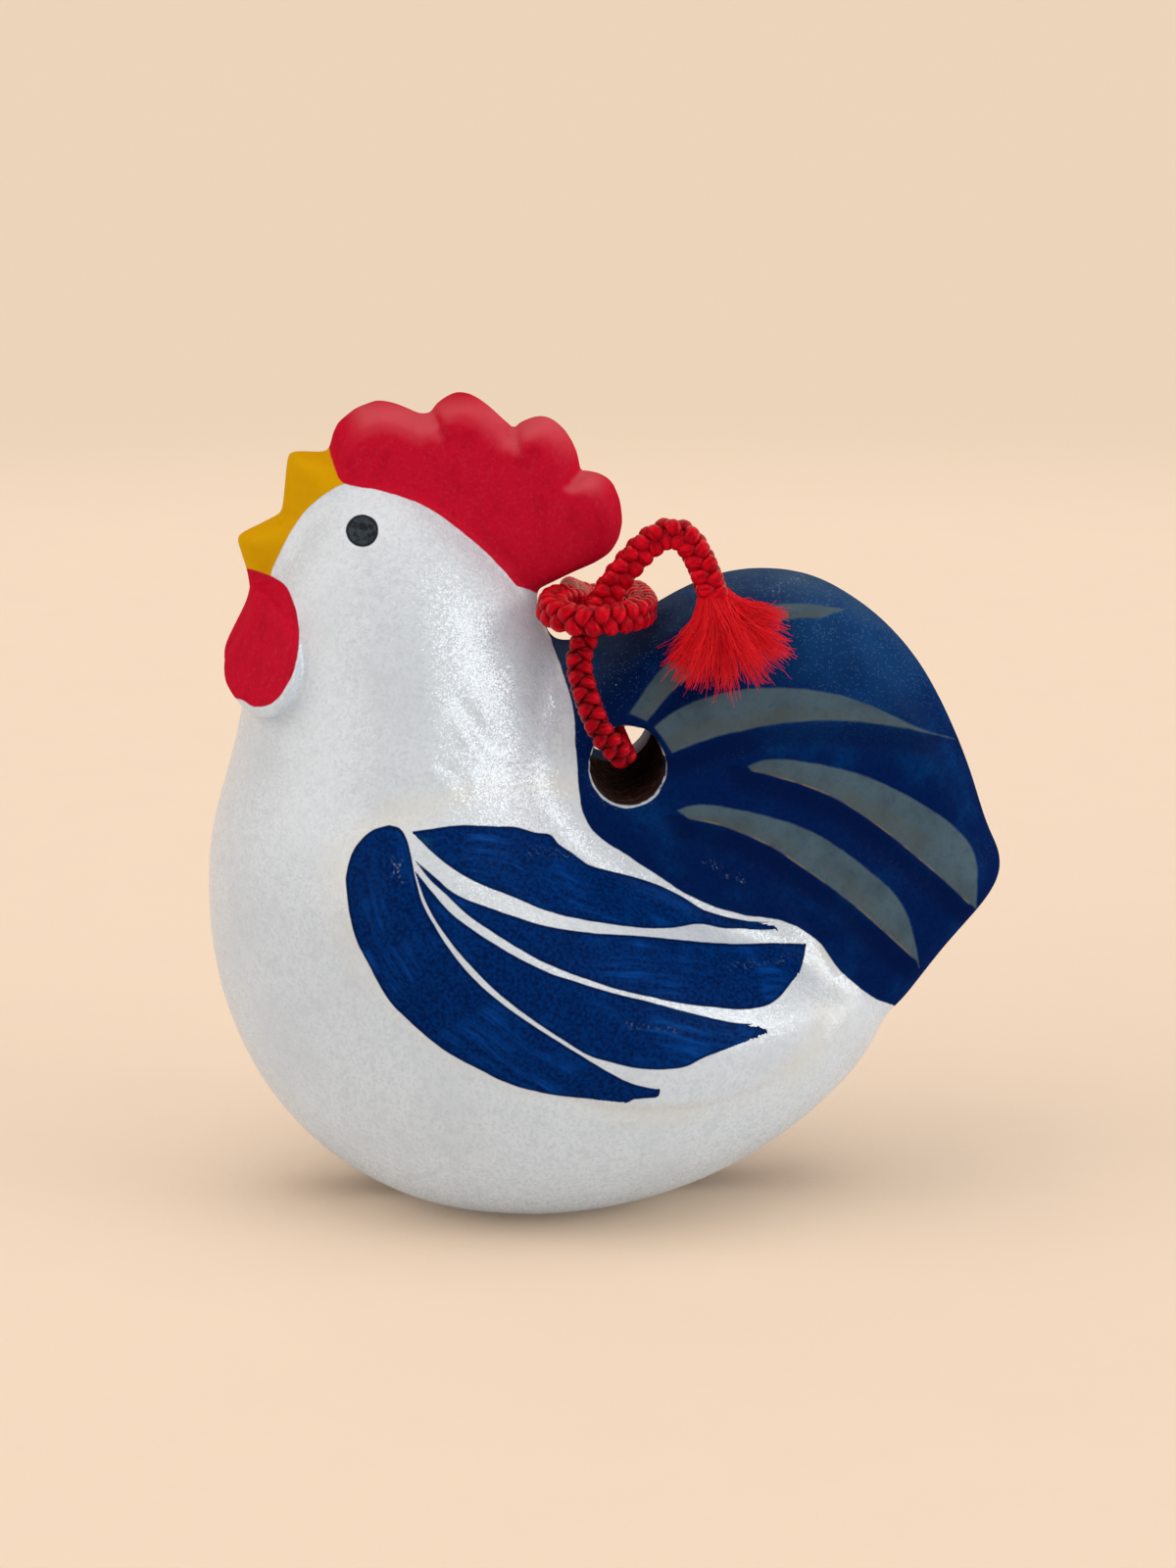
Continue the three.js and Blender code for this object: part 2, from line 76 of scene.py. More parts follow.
# Wing feathers, each as its upper edge, its brushed tip and its lower edge
FEATHERS = [
    ([(397, 842), (408, 845), (415, 856), (420, 876), (424, 896), (430, 918), (442, 942), (460, 970),
      (482, 997), (510, 1022), (545, 1047), (585, 1072), (623, 1095), (646, 1106), (669, 1111)],
     [(668, 1115), (645, 1117), (640, 1120), (632, 1123)],
     [(606, 1122), (562, 1117), (522, 1107), (490, 1092), (455, 1073), (425, 1049), (397, 1021), (378, 988),
      (362, 955), (354, 915), (353, 893), (359, 871), (368, 857), (382, 846), (397, 842)]),
    ([(427, 893), (446, 916), (463, 934), (483, 949), (506, 964), (532, 979), (562, 993), (595, 1004),
      (628, 1014), (662, 1022), (695, 1031), (728, 1039), (752, 1044)],
     [(768, 1045), (752, 1050), (778, 1053), (750, 1058), (764, 1062), (752, 1066)],
     [(737, 1072), (717, 1080), (701, 1088), (684, 1091), (655, 1091), (627, 1085), (600, 1077), (571, 1059),
      (541, 1039), (512, 1017), (486, 992), (463, 966), (446, 942), (434, 920), (428, 903)]),
    ([(427, 881), (444, 895), (463, 911), (493, 924), (525, 935), (558, 945), (606, 952), (655, 955),
      (704, 960), (753, 963), (792, 962), (818, 963)],
     [(816, 974), (813, 986)],
     [(808, 1002), (798, 1015), (785, 1025), (761, 1030), (728, 1028), (695, 1024), (662, 1017), (628, 1009),
      (592, 997), (559, 984), (529, 968), (499, 949), (476, 933), (453, 911), (439, 898), (428, 884)]),
    ([(424, 848), (437, 846), (470, 842), (506, 843), (528, 844), (545, 849), (562, 852), (570, 861),
      (582, 869), (600, 882), (620, 888), (645, 894), (672, 903), (698, 916), (718, 928), (740, 935),
      (765, 940)],
     [(788, 941), (750, 944), (789, 950)],
     [(763, 948), (737, 947), (714, 943), (686, 947), (655, 947), (616, 942), (577, 935), (551, 927),
      (525, 916), (499, 906), (476, 895), (457, 883), (440, 869), (428, 857)]),
]
FEATHER_ROOT = (424, 872)
FEATHER_REACH = 12
FEATHER_SHIFT = 100

# Tail stripes, each as its upper edge and its lower edge
STRIPES = [
    ([(642, 728), (655, 709), (668, 690), (686, 672), (710, 651), (740, 633), (773, 621), (806, 616),
      (831, 617), (862, 622)],
     [(839, 630), (806, 632), (770, 640), (735, 662), (705, 690), (688, 703), (673, 720), (660, 736)]),
    ([(668, 742), (681, 731), (702, 719), (730, 709), (764, 703), (798, 702), (833, 705), (860, 710),
      (900, 725), (943, 745), (974, 754)],
     [(943, 747), (911, 741), (880, 737), (841, 735), (798, 738), (764, 744), (730, 752), (706, 760),
      (686, 768)]),
    ([(763, 782), (779, 776), (809, 776), (845, 782), (882, 792), (916, 807), (951, 827), (976, 846),
      (990, 863), (997, 884), (997, 907), (996, 927)],
     [(988, 921), (967, 901), (937, 875), (905, 849), (877, 829), (850, 813), (818, 800), (783, 790),
      (767, 786)]),
    ([(691, 827), (705, 822), (726, 822), (756, 827), (790, 835), (822, 846), (854, 864), (887, 889),
      (910, 909), (923, 928), (930, 948), (935, 967), (938, 987)],
     [(935, 980), (921, 967), (900, 948), (875, 926), (848, 905), (818, 884), (788, 864), (760, 851),
      (733, 841), (703, 835)]),
]

# Marks in the clay: the two ends and half width in pixels, and the height in millimetres
MARKS = [
    ((463, 708), (507, 772), 10, -0.20),
    ((463, 734), (494, 779), 8, 0.10),
    ((446, 776), (478, 804), 8, -0.10),
    ((430, 783), (472, 809), 8, 0.09),
    ((376, 801), (409, 821), 8, 0.09),
    ((501, 776), (524, 791), 8, 0.08),
    ((441, 420), (450, 450), 6, -0.40),
    ((523, 434), (528, 464), 6, -0.40),
    ((594, 478), (580, 500), 6, -0.40),
]

# Pale scuffs in the paint: the two ends and the half width in pixels, and how strong
SCUFFS = [
    ((790, 602), (818, 590), 9, 0.8),
    ((722, 880), (756, 898), 7, 0.7),
    ((400, 874), (411, 900), 3, 1.0),
    ((411, 877), (397, 897), 3, 0.8),
    ((640, 1046), (690, 1052), 6, 0.5),
    ((745, 986), (800, 979), 7, 0.5),
    ((540, 868), (590, 874), 8, 0.5),
]

# Shell surface
VOXEL = 0.30 * MM
SMOOTH_ROUNDS = 52
SMOOTH_STEP = 0.5
CRISP_SHARE = 0.13
CRISP_FADE = 6
WATTLE_SHARE = 0.45
WELD = 0.002 * MM
SEAM = 0.004 * MM
UNEVEN_DEPTH = 0.05 * MM
UNEVEN_LENGTHS = (7 * MM, 16 * MM)
UNEVEN_WAVES = 18
MARK_OVERRUN = 0.1
MARK_FADE = 0.4
PAD_X = -2.3 * MM
PAD_Z = 24.0 * MM
PAD_HALF_LENGTH = 19.5 * MM
PAD_HALF_HEIGHT = 10.5 * MM
PAD_TILT = -0.35
PAD_GROOVE = 0.24 * MM
PAD_RING = 1.05
PAD_RING_WIDTH = 0.05
PAD_FADE = 4 * MM
PIXELS_IN_MM = 12.5
FINE_REACHES = (6.0, 3.0)
RIB_RISE = 0.10 * MM
RIB_WIDTH = 13
RIM_FADE = 2.5 * MM
PROBE_LIFT = 0.2 * MM
CUT_REACH = 0.001 * MM

# Cord hole and the white slip in it, with depths in millimetres
HOLE_X = 1.0 * MM
HOLE_Z = 37.3 * MM
HOLE_RADIUS = 3.0 * MM
HOLE_FADE = 2.5 * MM
HOLE_SHARE = 0.12
LIP_BAND = (0.4 * MM, 1.4 * MM)
WALL_REACH = 0.12 * MM
NEAR_SLIP_DEPTH = 0.4
FAR_SLIP_DEPTHS = (1.0, 4.5)
FAR_SLIP_BACK = 0.4
SLIP_SHIFT = (0.13 * MM, -0.11 * MM)
SLIP_RADIUS = 3.07 * MM

# Slit underneath, and the notch between the lobes of the wattle
SLIT_HALF_WIDTH = 2.5 * MM
SLIT_MARGIN = 1.2 * MM
SLIT_TOP = 7 * MM
SLIT_SHARE = 0.2
WATTLE_NOTCH_TOP = 47.7 * MM
WATTLE_NOTCH_SLOPE = 0.4
WATTLE_SPILL = 3.5
WATTLE_BACK = -25.5 * MM

# Cord, with its route from one end to the other
CORD_DIAMETER = 2.8 * MM
CORD_STEP = 0.10 * MM
ROUTE_PARTS = 24
END_STEPS = 8
CORD_ROUTE = [
    (8, -8.6, 50.6), (7.4, -8.1, 52.4), (6.6, -7.6, 54.2), (5.6, -7.2, 55.5), (4.3, -6.9, 55.7),
    (2.9, -6.7, 54.9), (1.8, -6.6, 53.8), (0.4, -6.7, 52.1), (-0.7, -7, 50.6), (-1.7, -7.7, 49),
    (-2.4, -8.7, 47.6), (-2.9, -9.7, 46), (-2.6, -10.6, 44.2), (-2, -11.1, 42.3), (-1.2, -11.1, 40.5),
    (0.4, -9.8, 38.5), (0.45, -5, 38.4), (0.45, 0, 38.4), (0.45, 5, 38.4), (0.4, 9.8, 38.5),
    (0.6, 11.1, 40.3), (0.9, 10.7, 42.4), (1.2, 8.7, 45.3), (1.5, 5.5, 47.9), (2, 1.8, 49.2),
    (2.4, -2.4, 49.5), (2.4, -6.2, 49.5), (1.2, -9.4, 49.6), (-0.9, -11, 49.6), (-3.1, -11, 49.6),
    (-4.6, -9.3, 49.8), (-4.9, -7, 50), (-4.1, -4.8, 50), (-3, -2.4, 49.5), (-2.6, 1.2, 49),
    (-2.5, 5.6, 48.6), (-1.3, 10, 47.4), (1.4, 12.2, 46.4), (4.8, 11.7, 44.8), (7.4, 11.2, 42.9),
]
BRAID_PITCH = 2.5 * MM
STRANDS_EACH_WAY = 2
STRAND_ORBIT = 0.57 * MM
STRAND_WEAVE = 0.38 * MM
STRAND_HALF_WIDTH = 0.60 * MM
STRAND_HALF_DEPTH = 0.47 * MM
CORE_RADIUS = 0.50 * MM
ROLL_STEPS = 41
ROLL_LIMIT = 0.85
GAP_RADIUS = 0.76 * MM
CREST_RADIUS = 1.28 * MM
CORE_CORNERS = 8
STRAND_CORNERS = 12
OTHER_WAY_SHIFT = 0.75

# How thick the cord is pulled, as the distance along it and the share of its full girth
CORD_GIRTH_PLACES = (0 * MM, 13 * MM, 19 * MM, 46 * MM, 54 * MM)
CORD_GIRTH_SHARES = (1.05, 1.0, 0.86, 0.86, 1.0)

# Frayed ends: how many degrees each bunch of fibres leans from the line of the cord, and its length
FRAY_BUNCHES = [
    (-38, 6.2 * MM), (-25, 7.4 * MM), (-8, 7.8 * MM), (10, 7.9 * MM), (26, 7.4 * MM), (42, 5.4 * MM),
]
FIBRES_IN_BUNCH = 320
FIBRE_RADIUS = 0.055 * MM
FIBRE_TIP = 0.4
FIBRE_LENGTHS = (0.62, 1.05)
FIBRE_ROOT = 0.6 * MM
ROOT_LEAN = 0.7
ROOT_SCATTER = 0.18
ROOT_LIMIT = 0.92
ROOT_RISE = 0.8
FIBRE_BEND = 0.45
FIBRE_CURL = 0.36 * MM
FIBRE_CRIMP = 0.17 * MM
CRIMP_TURNS = (1.0, 2.2)
FIBRE_SHADES = (0.45, 1)
FIBRE_STEPS = 10
FIBRE_CORNERS = 3
FIBRE_RING = FIBRE_CORNERS * FIBRE_STEPS
FRAY_SPREAD = math.radians(5)
FRAY_DEPTH = math.radians(12)

# Pellet, with its dents as a share of its size
PELLET_DENT = 0.016
PELLET_LENGTHS = (3 * MM, 9 * MM)
PELLET_WAVES = 14
SEED = 7

# Colours, linear
WHITE = (0.640, 0.660, 0.685, 1)
WHITE_GREY = (0.515, 0.537, 0.562, 1)
CREAM_AND_BOUNCE = (0.735, 0.718, 0.662, 1)
PAD_CREAM = (0.660, 0.610, 0.520, 1)
TAN = (0.420, 0.300, 0.210, 1)
WING_BLUE = (0.0003, 0.0235, 0.126, 1)
WING_LIGHT = (0.0026, 0.0540, 0.255, 1)
WING_EDGE = (0.0002, 0.0065, 0.045, 1)
WING_THIN = (0.006, 0.090, 0.170, 1)
NAVY = (0.0001, 0.0100, 0.066, 1)
NAVY_LIGHT = (0.0004, 0.0360, 0.145, 1)
NAVY_DEEP = (0.0001, 0.0050, 0.038, 1)
NAVY_DUST_AND_SHEEN = (0.045, 0.075, 0.125, 1)
NAVY_SHEEN = (0.010, 0.066, 0.190, 1)
SCUFF_GREY = (0.240, 0.290, 0.360, 1)
NAVY_GLINT = (0.110, 0.190, 0.290, 1)
OLIVE = (0.074, 0.110, 0.128, 1)
OLIVE_DARK = (0.052, 0.076, 0.088, 1)
OLIVE_BROWN = (0.085, 0.086, 0.070, 1)
OCHRE = (0.300, 0.200, 0.090, 1)
RED = (0.545, 0.0045, 0.0225, 1)
RED_DARK = (0.410, 0.0024, 0.0150, 1)
RED_PALE_AND_LIT = (0.640, 0.0800, 0.0950, 1)
YELLOW = (0.670, 0.315, 0.0004, 1)
YELLOW_DARK = (0.590, 0.255, 0.0004, 1)
EYE_BLACK = (0.002, 0.004, 0.007, 1)
EYE_HIGHLIGHT_GREY = (0.026, 0.040, 0.052, 1)
CLAY = (0.200, 0.105, 0.060, 1)
CLAY_DARK = (0.110, 0.055, 0.032, 1)
CLAY_SHADE_BLACK = (0.034, 0.0150, 0.0130, 1)
CLAY_SPECK = (0.300, 0.200, 0.130, 1)
CORD_RED = (0.800, 0.0030, 0.0150, 1)
CORD_DEEP = (0.260, 0.0006, 0.0036, 1)
CORD_GAP_SHADE = (0.045, 0.0002, 0.0010, 1)
FRAY_RED = (0.900, 0.0040, 0.0130, 1)
FRAY_LIGHT = (1.000, 0.0300, 0.0360, 1)
FRAY_GAP = (0.560, 0.0013, 0.0052, 1)
RED_SHEEN = (1.000, 0.0300, 0.0400, 1)
PEACH = (0.965, 0.730, 0.540, 1)
PEACH_FAR = (0.871, 0.670, 0.490, 1)
PEACH_HORIZON = (0.875, 0.697, 0.529, 1)
ROOM_LIGHT = (0.96, 0.985, 1.0, 1)
ROOM_FRONT = 0.46
ROOM_SIDES = 0.53
ROOM_TURN = (-0.9, 0.2)
PAPER_GREY = (0.850, 0.860, 0.870, 1)
PAPER_HALF = 5.0
PAPER_LIGHT_FALLOFF = (0.30, 0.42)

# Lamps: the way their light falls, how many degrees wide and how strong they are, and if they throw shadows
LAMPS = [
    ("top", (0.05, 0.05, -1.0), 70, 0.80, (1, 0.99, 0.97), True),
    ("right", (-0.78, 0.48, -0.38), 34, 0.42, (0.80, 0.91, 1), True),
    ("pearl", (-0.78, 0.48, -0.38), 30, 0.51, (0.80, 0.91, 1), False),
    ("rim", (-0.92, 0.02, 0.0), 60, 0.72, (1, 0.99, 0.98), False),
    ("left", (0.88, 0.35, -0.30), 70, 0.95, (1, 0.99, 0.98), True),
]

rng = np.random.default_rng(SEED)


# Camera

def view_axes():
    """The camera's place, and its right, up and forward directions."""
    turn_sin, turn_cos = math.sin(VIEW_TURN), math.cos(VIEW_TURN)
    tilt_sin, tilt_cos = math.sin(VIEW_TILT), math.cos(VIEW_TILT)
    right = np.array((turn_cos, -turn_sin, 0))
    up = np.array((turn_sin * tilt_sin, turn_cos * tilt_sin, tilt_cos))
    forward = np.array((turn_sin * tilt_cos, turn_cos * tilt_cos, -tilt_sin))
    return VIEW_TARGET - VIEW_DISTANCE * forward, right, up, forward


def make_camera():
    eye, right, up, forward = view_axes()
    lens = bpy.data.cameras.new("camera")
    lens.sensor_width = SENSOR
    lens.lens = SENSOR * FOCAL_PIXELS / FRAME_HEIGHT
    camera = bpy.data.objects.new("camera", lens)
    turn = Matrix((right, up, -forward)).transposed().to_4x4()
    camera.matrix_world = Matrix.Translation(eye) @ turn
    bpy.context.scene.collection.objects.link(camera)
    bpy.context.scene.camera = camera


def pixels(points):
    """Where points show in the frame. The far side is seen as the mirror image of the near one."""
    eye, right, up, forward = view_axes()
    near = points.copy()
    near[:, 1] = -np.abs(near[:, 1])
    away = near - eye
    depth = away @ forward
    across = FRAME_WIDTH / 2 + FOCAL_PIXELS * (away @ right) / depth
    down = FRAME_HEIGHT / 2 - FOCAL_PIXELS * (away @ up) / depth
    return np.stack((across, down), 1)


# Curves and outlines

def curve(points, parts=6):
    """A smooth line through points, the same as a centripetal Catmull-Rom curve."""
    points = np.array(points, float)
    ends = (2 * points[0] - points[1], 2 * points[-1] - points[-2])
    knots = np.vstack((ends[0], points, ends[1]))
    line = []
    for i in range(len(points) - 1):
        p0, p1, p2, p3 = knots[i:i + 4]
        d1, d2, d3 = (max(np.linalg.norm(b - a), 1e-9) ** 0.5 for a, b in ((p0, p1), (p1, p2), (p2, p3)))
        start = d2 * ((p1 - p0) / d1 - (p2 - p0) / (d1 + d2) + (p2 - p1) / d2)
        end = d2 * ((p2 - p1) / d2 - (p3 - p1) / (d2 + d3) + (p3 - p2) / d3)
        t = np.arange(parts)[:, None] / parts
        rise = p2 - p1
        line.append(p1 + t * (start + t * ((3 * rise - 2 * start - end) + t * (start + end - 2 * rise))))
    return np.vstack((*line, points[-1:]))


OUTLINES = {
    "comb": np.vstack((curve(COMB_EDGE), COMB_BEYOND)),
    "beak": np.vstack((curve(BEAK_EDGE), BEAK_BEYOND)),
    "wattle": np.vstack((curve(WATTLE_EDGE), WATTLE_BEYOND)),
    "tail": np.vstack((curve(TAIL_EDGE), TAIL_BEYOND)),
}


def distance_to(places, line):
    """Distance of each place to an open line."""
    best = np.full(len(places), np.inf)
    for a, b in zip(line[:-1], line[1:]):
        way = b - a
        share = np.clip((places - a) @ way / max(way @ way, 1e-12), 0, 1)
        best = np.minimum(best, ((places - a - share[:, None] * way) ** 2).sum(1))
    return np.sqrt(best)


def beside(places, line):
    """Signed distance of each place to an open line, above zero on the inner side of a clockwise outline."""
    best = np.full(len(places), np.inf)
    result = np.zeros(len(places))
    for a, b in zip(line[:-1], line[1:]):
        way = b - a
        share = np.clip((places - a) @ way / max(way @ way, 1e-12), 0, 1)
        gap = ((places - a - share[:, None] * way) ** 2).sum(1)
        side = np.sign((places - a) @ np.array((-way[1], way[0])))
        result = np.where(gap < best, side * np.sqrt(gap), result)
        best = np.minimum(best, gap)
    return result


def depth_inside(places, outline, reach=60):
    """How deep each place lies inside a closed outline, below zero outside it, within a reach."""
    low, high = outline.min(0) - reach, outline.max(0) + reach
    result = np.full(len(places), -float(reach))
    close = ((places > low) & (places < high)).all(1)
    some = places[close]
    ring = np.vstack((outline, outline[:1]))
    inside = np.zeros(len(some), bool)
    for a, b in zip(ring[:-1], ring[1:]):
        if a[1] == b[1]:
            continue
        crosses = (a[1] > some[:, 1]) != (b[1] > some[:, 1])
        inside ^= crosses & (some[:, 0] < a[0] + (some[:, 1] - a[1]) * (b[0] - a[0]) / (b[1] - a[1]))
    result[close] = np.where(inside, 1, -1) * distance_to(some, ring)
    return np.clip(result, -reach, reach)


def tiny_waves(points, lengths, count):
    """A gentle random unevenness from waves of the given lengths, between about -1 and 1."""
    total = np.zeros(len(points))
    for _ in range(count):
        way = rng.normal(size=3)
        way *= 2 * math.pi / (np.linalg.norm(way) * rng.uniform(*lengths))
        total += np.sin(points @ way + rng.uniform(0, 2 * math.pi))
    return total / math.sqrt(2 * count)


# Meshes

def points_of(mesh):
    flat = np.empty(3 * len(mesh.vertices), np.float32)
    mesh.vertices.foreach_get("co", flat)
    return flat.reshape(-1, 3).astype(float)


def normals_of(mesh):
    flat = np.empty(3 * len(mesh.vertices), np.float32)
    mesh.vertex_normals.foreach_get("vector", flat)
    return flat.reshape(-1, 3).astype(float)


def set_points(mesh, points):
    mesh.vertices.foreach_set("co", points.astype(np.float32).ravel())
    mesh.update()


def set_field(mesh, name, values):
    layer = mesh.attributes.get(name) or mesh.attributes.new(name, "FLOAT", "POINT")
    layer.data.foreach_set("value", values.astype(np.float32))


def field_of(mesh, name):
    values = np.empty(len(mesh.vertices), np.float32)
    mesh.attributes[name].data.foreach_get("value", values)
    return values.astype(float)


def add_object(name, mesh, material):
    piece = bpy.data.objects.new(name, mesh)
    bpy.context.scene.collection.objects.link(piece)
    mesh.materials.clear()
    mesh.materials.append(material)
    return piece


def tube_mesh(name, tubes):
    """One mesh of closed tubes, each a row of rings of points, with the way round and along as UV."""
    points, faces, places = [], [], []
    for rings in tubes:
        rows, sides = rings.shape[:2]
        first = len(points)
        points.extend(rings.reshape(-1, 3))
        along = np.concatenate(([0], np.cumsum(np.linalg.norm(np.diff(rings.mean(1), axis=0), axis=1)))) / MM
        for r in range(rows - 1):
            for k in range(sides):
                a, b = first + r * sides + k, first + r * sides + (k + 1) % sides
                faces.append((a, b, b + sides, a + sides))
                u, w = k / sides, (k + 1) / sides
                places.append(((u, along[r]), (w, along[r]), (w, along[r + 1]), (u, along[r + 1])))
        for r in (0, rows - 1):
            ring = [first + r * sides + k for k in range(sides)]
            faces.append(ring[::-1] if r == 0 else ring)
            places.append([(k / sides, along[r]) for k in range(sides)])
    mesh = bpy.data.meshes.new(name)
    mesh.from_pydata(points, [], faces)
    layer = mesh.uv_layers.new(name="along")
    layer.data.foreach_set("uv", np.array([p for place in places for p in place], np.float32).ravel())
    mesh.shade_smooth()
    return mesh


# Shell

def whole_shell():
    """Both halves as one fine, smooth skin."""
    joined = bmesh.new()
    for node in ("shell_left", "shell_right"):
        joined.from_mesh(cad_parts[node].data)
    bmesh.ops.remove_doubles(joined, verts=joined.verts, dist=WELD)
    middle = [f for f in joined.faces if all(abs(v.co.y) < SEAM for v in f.verts)]
    bmesh.ops.delete(joined, geom=middle, context="FACES")
    rough = bpy.data.meshes.new("rough")
    joined.to_mesh(rough)
    joined.free()
    carrier = bpy.data.objects.new("rough", rough)
    bpy.context.scene.collection.objects.link(carrier)
    remesh = carrier.modifiers.new("remesh", "REMESH")
    remesh.mode = "VOXEL"
    remesh.voxel_size = VOXEL
    graph = bpy.context.evaluated_depsgraph_get()
    fine = bpy.data.meshes.new_from_object(carrier.evaluated_get(graph))
    bpy.data.objects.remove(carrier)
    return fine


def smooth_shell(mesh):
    """Melts the facets away, less so on the comb, the beak and round the openings."""
    points = points_of(mesh)
    edges = np.empty(2 * len(mesh.edges), np.int32)
    mesh.edges.foreach_get("vertices", edges)
    edges = edges.reshape(-1, 2)
    places = pixels(points)
    weight = np.ones(len(points))
    for name, share in (("comb", CRISP_SHARE), ("beak", CRISP_SHARE), ("wattle", WATTLE_SHARE)):
        crisp = np.clip((depth_inside(places, OUTLINES[name]) + CRISP_FADE) / (2 * CRISP_FADE), 0, 1)
        weight = np.minimum(weight, 1 - (1 - share) * crisp)
    from_hole = np.hypot(points[:, 0] - HOLE_X, points[:, 2] - HOLE_Z)
    weight *= np.clip((from_hole - HOLE_RADIUS) / HOLE_FADE, HOLE_SHARE, 1)
    slit = (np.abs(points[:, 1]) < SLIT_HALF_WIDTH + SLIT_MARGIN) & (points[:, 2] < SLIT_TOP)
    weight = np.where(slit, SLIT_SHARE * weight, weight)[:, None]
    degree = np.bincount(edges.ravel(), minlength=len(points))[:, None]
    for _ in range(SMOOTH_ROUNDS):
        total = np.zeros_like(points)
        for a, b in ((0, 1), (1, 0)):
            for axis in range(3):
                total[:, axis] += np.bincount(edges[:, a], points[edges[:, b], axis], len(points))
        points += SMOOTH_STEP * weight * (total / degree - points)
    set_points(mesh, points)


def mark_height(places):
    """Height of the grooves and ridges pressed into the clay, faded at their ends."""
    height = np.zeros(len(places))
    for start, end, half_width, rise in MARKS:
        start = np.array(start, float)
        way = np.array(end, float) - start
        length = np.linalg.norm(way)
        way /= length
        along = (places - start) @ way / length
        across = (places - start) @ np.array((-way[1], way[0]))
        fade = np.clip((along + MARK_OVERRUN) / MARK_FADE, 0, 1)
        fade *= np.clip((1 + MARK_OVERRUN - along) / MARK_FADE, 0, 1)
        height += rise * MM * fade * np.exp(-(across / half_width) ** 2)
    return height


def scuff_strength(places):
    """How strongly the paint is scuffed at each place."""
    strength = np.zeros(len(places))
    for start, end, half_width, most in SCUFFS:
        gap = distance_to(places, np.array((start, end), float))
        strength = np.maximum(strength, most * np.clip(1 - gap / half_width, 0, 1))
    return strength


def valley_depth(points, places):
    """How deep each point lies in a valley between the rounded ribs of the tail, under each stripe."""
    depth = np.zeros(len(places))
    inside = depth_inside(places, OUTLINES["tail"])
    from_rim = np.clip(np.abs(points[:, 1]) / RIM_FADE - 1, 0, 1)
    tail = inside > 0
    for _, lower in STRIPES:
        gap = -beside(places[tail], curve(lower))
        depth[tail] += np.exp(-((gap - RIB_WIDTH) / RIB_WIDTH) ** 2)
    return depth * from_rim * np.clip(inside / RIB_WIDTH, 0, 1)


def painted_outlines():
    """The outline of each painted area, as a closed ring."""
    outlines = list(OUTLINES.values())
    outlines += [np.vstack((curve(upper), tip, curve(lower))) for upper, tip, lower in FEATHERS]
    outlines += [np.vstack((curve(upper), curve(lower))) for upper, lower in STRIPES]
    return outlines


def finer_at_edges(mesh):
    """Splits the faces along the edges of the paint and at scuffs, so that they can be drawn finely."""
    for reach in FINE_REACHES:
        places = pixels(points_of(mesh))
        close = scuff_strength(places) > 0
        close |= np.abs(np.linalg.norm(places - EYE_CENTRE, axis=1) - EYE_RADIUS) < reach
        for outline in painted_outlines():
            close |= np.abs(depth_inside(places, outline, 2 * reach)) < reach
        close &= field_of(mesh, "bare") < 0.5
        fine = bmesh.new()
        fine.from_mesh(mesh)
        chosen = [e for e in fine.edges if close[e.verts[0].index] and close[e.verts[1].index]]
        bmesh.ops.subdivide_edges(fine, edges=chosen, cuts=1, use_grid_fill=True)
        fine.to_mesh(mesh)
        fine.free()


def pad_radius(points):
    """Distance from the middle of the wing pad, as a share of the way to its edge."""
    away_x, away_z = points[:, 0] - PAD_X, points[:, 2] - PAD_Z
    along = away_x * math.cos(PAD_TILT) + away_z * math.sin(PAD_TILT)
    across = away_z * math.cos(PAD_TILT) - away_x * math.sin(PAD_TILT)
    return np.hypot(along / PAD_HALF_LENGTH, across / PAD_HALF_HEIGHT)


def relief(mesh):
    """Hand-made unevenness, the marks in the clay and the groove round each wing pad."""
    points, normals = points_of(mesh), normals_of(mesh)
    inside = is_hollow(mesh, points, normals)
    set_field(mesh, "bare", inside & (points[:, 0] > WATTLE_BACK))
    rise = UNEVEN_DEPTH * tiny_waves(points, UNEVEN_LENGTHS, UNEVEN_WAVES)
    places = pixels(points)
    rise += mark_height(places)
    rise -= RIB_RISE * valley_depth(points, places)
    under = np.clip((PAD_Z + PAD_FADE - points[:, 2]) / PAD_FADE, 0, 1)
    rise -= PAD_GROOVE * under * np.exp(-((pad_radius(points) - PAD_RING) / PAD_RING_WIDTH) ** 2)
    rise[inside] = 0
    set_points(mesh, points + rise[:, None] * normals)


def is_hollow(mesh, points, normals):
    """Which points lie on the wall of the hollow: those with more clay outside them."""
    tree = BVHTree.FromPolygons([v.co for v in mesh.vertices], [p.vertices for p in mesh.polygons])
    start = points + PROBE_LIFT * normals
    outward = (Vector((0, -1, 0)), Vector((0, 1, 0)))
    found = [tree.ray_cast(Vector(s), outward[s[1] > 0])[0] is not None for s in start]
    return np.array(found)


def half_shell(whole, side):
    """The part of the shell on one side of the middle plane, closed there by a flat face."""
    half = bmesh.new()
    half.from_mesh(whole)
    everything = half.verts[:] + half.edges[:] + half.faces[:]
    cut = bmesh.ops.bisect_plane(half, geom=everything, dist=CUT_REACH, plane_co=(0, 0, 0),
                                 plane_no=(0, side, 0), clear_inner=True)
    rim = [e for e in cut["geom_cut"] if isinstance(e, bmesh.types.BMEdge)]
    filled = bmesh.ops.triangle_fill(half, edges=rim, use_beauty=True, normal=(0, -side, 0))
    for face in half.faces:
        face.smooth = True
    for face in filled["geom"]:
        if isinstance(face, bmesh.types.BMFace):
            face.smooth = False
            face.normal_update()
            if face.normal.y * side > 0:
                face.normal_flip()
    for edge in rim:
        edge.smooth = False
    mesh = bpy.data.meshes.new("half")
    half.to_mesh(mesh)
    half.free()
    return mesh


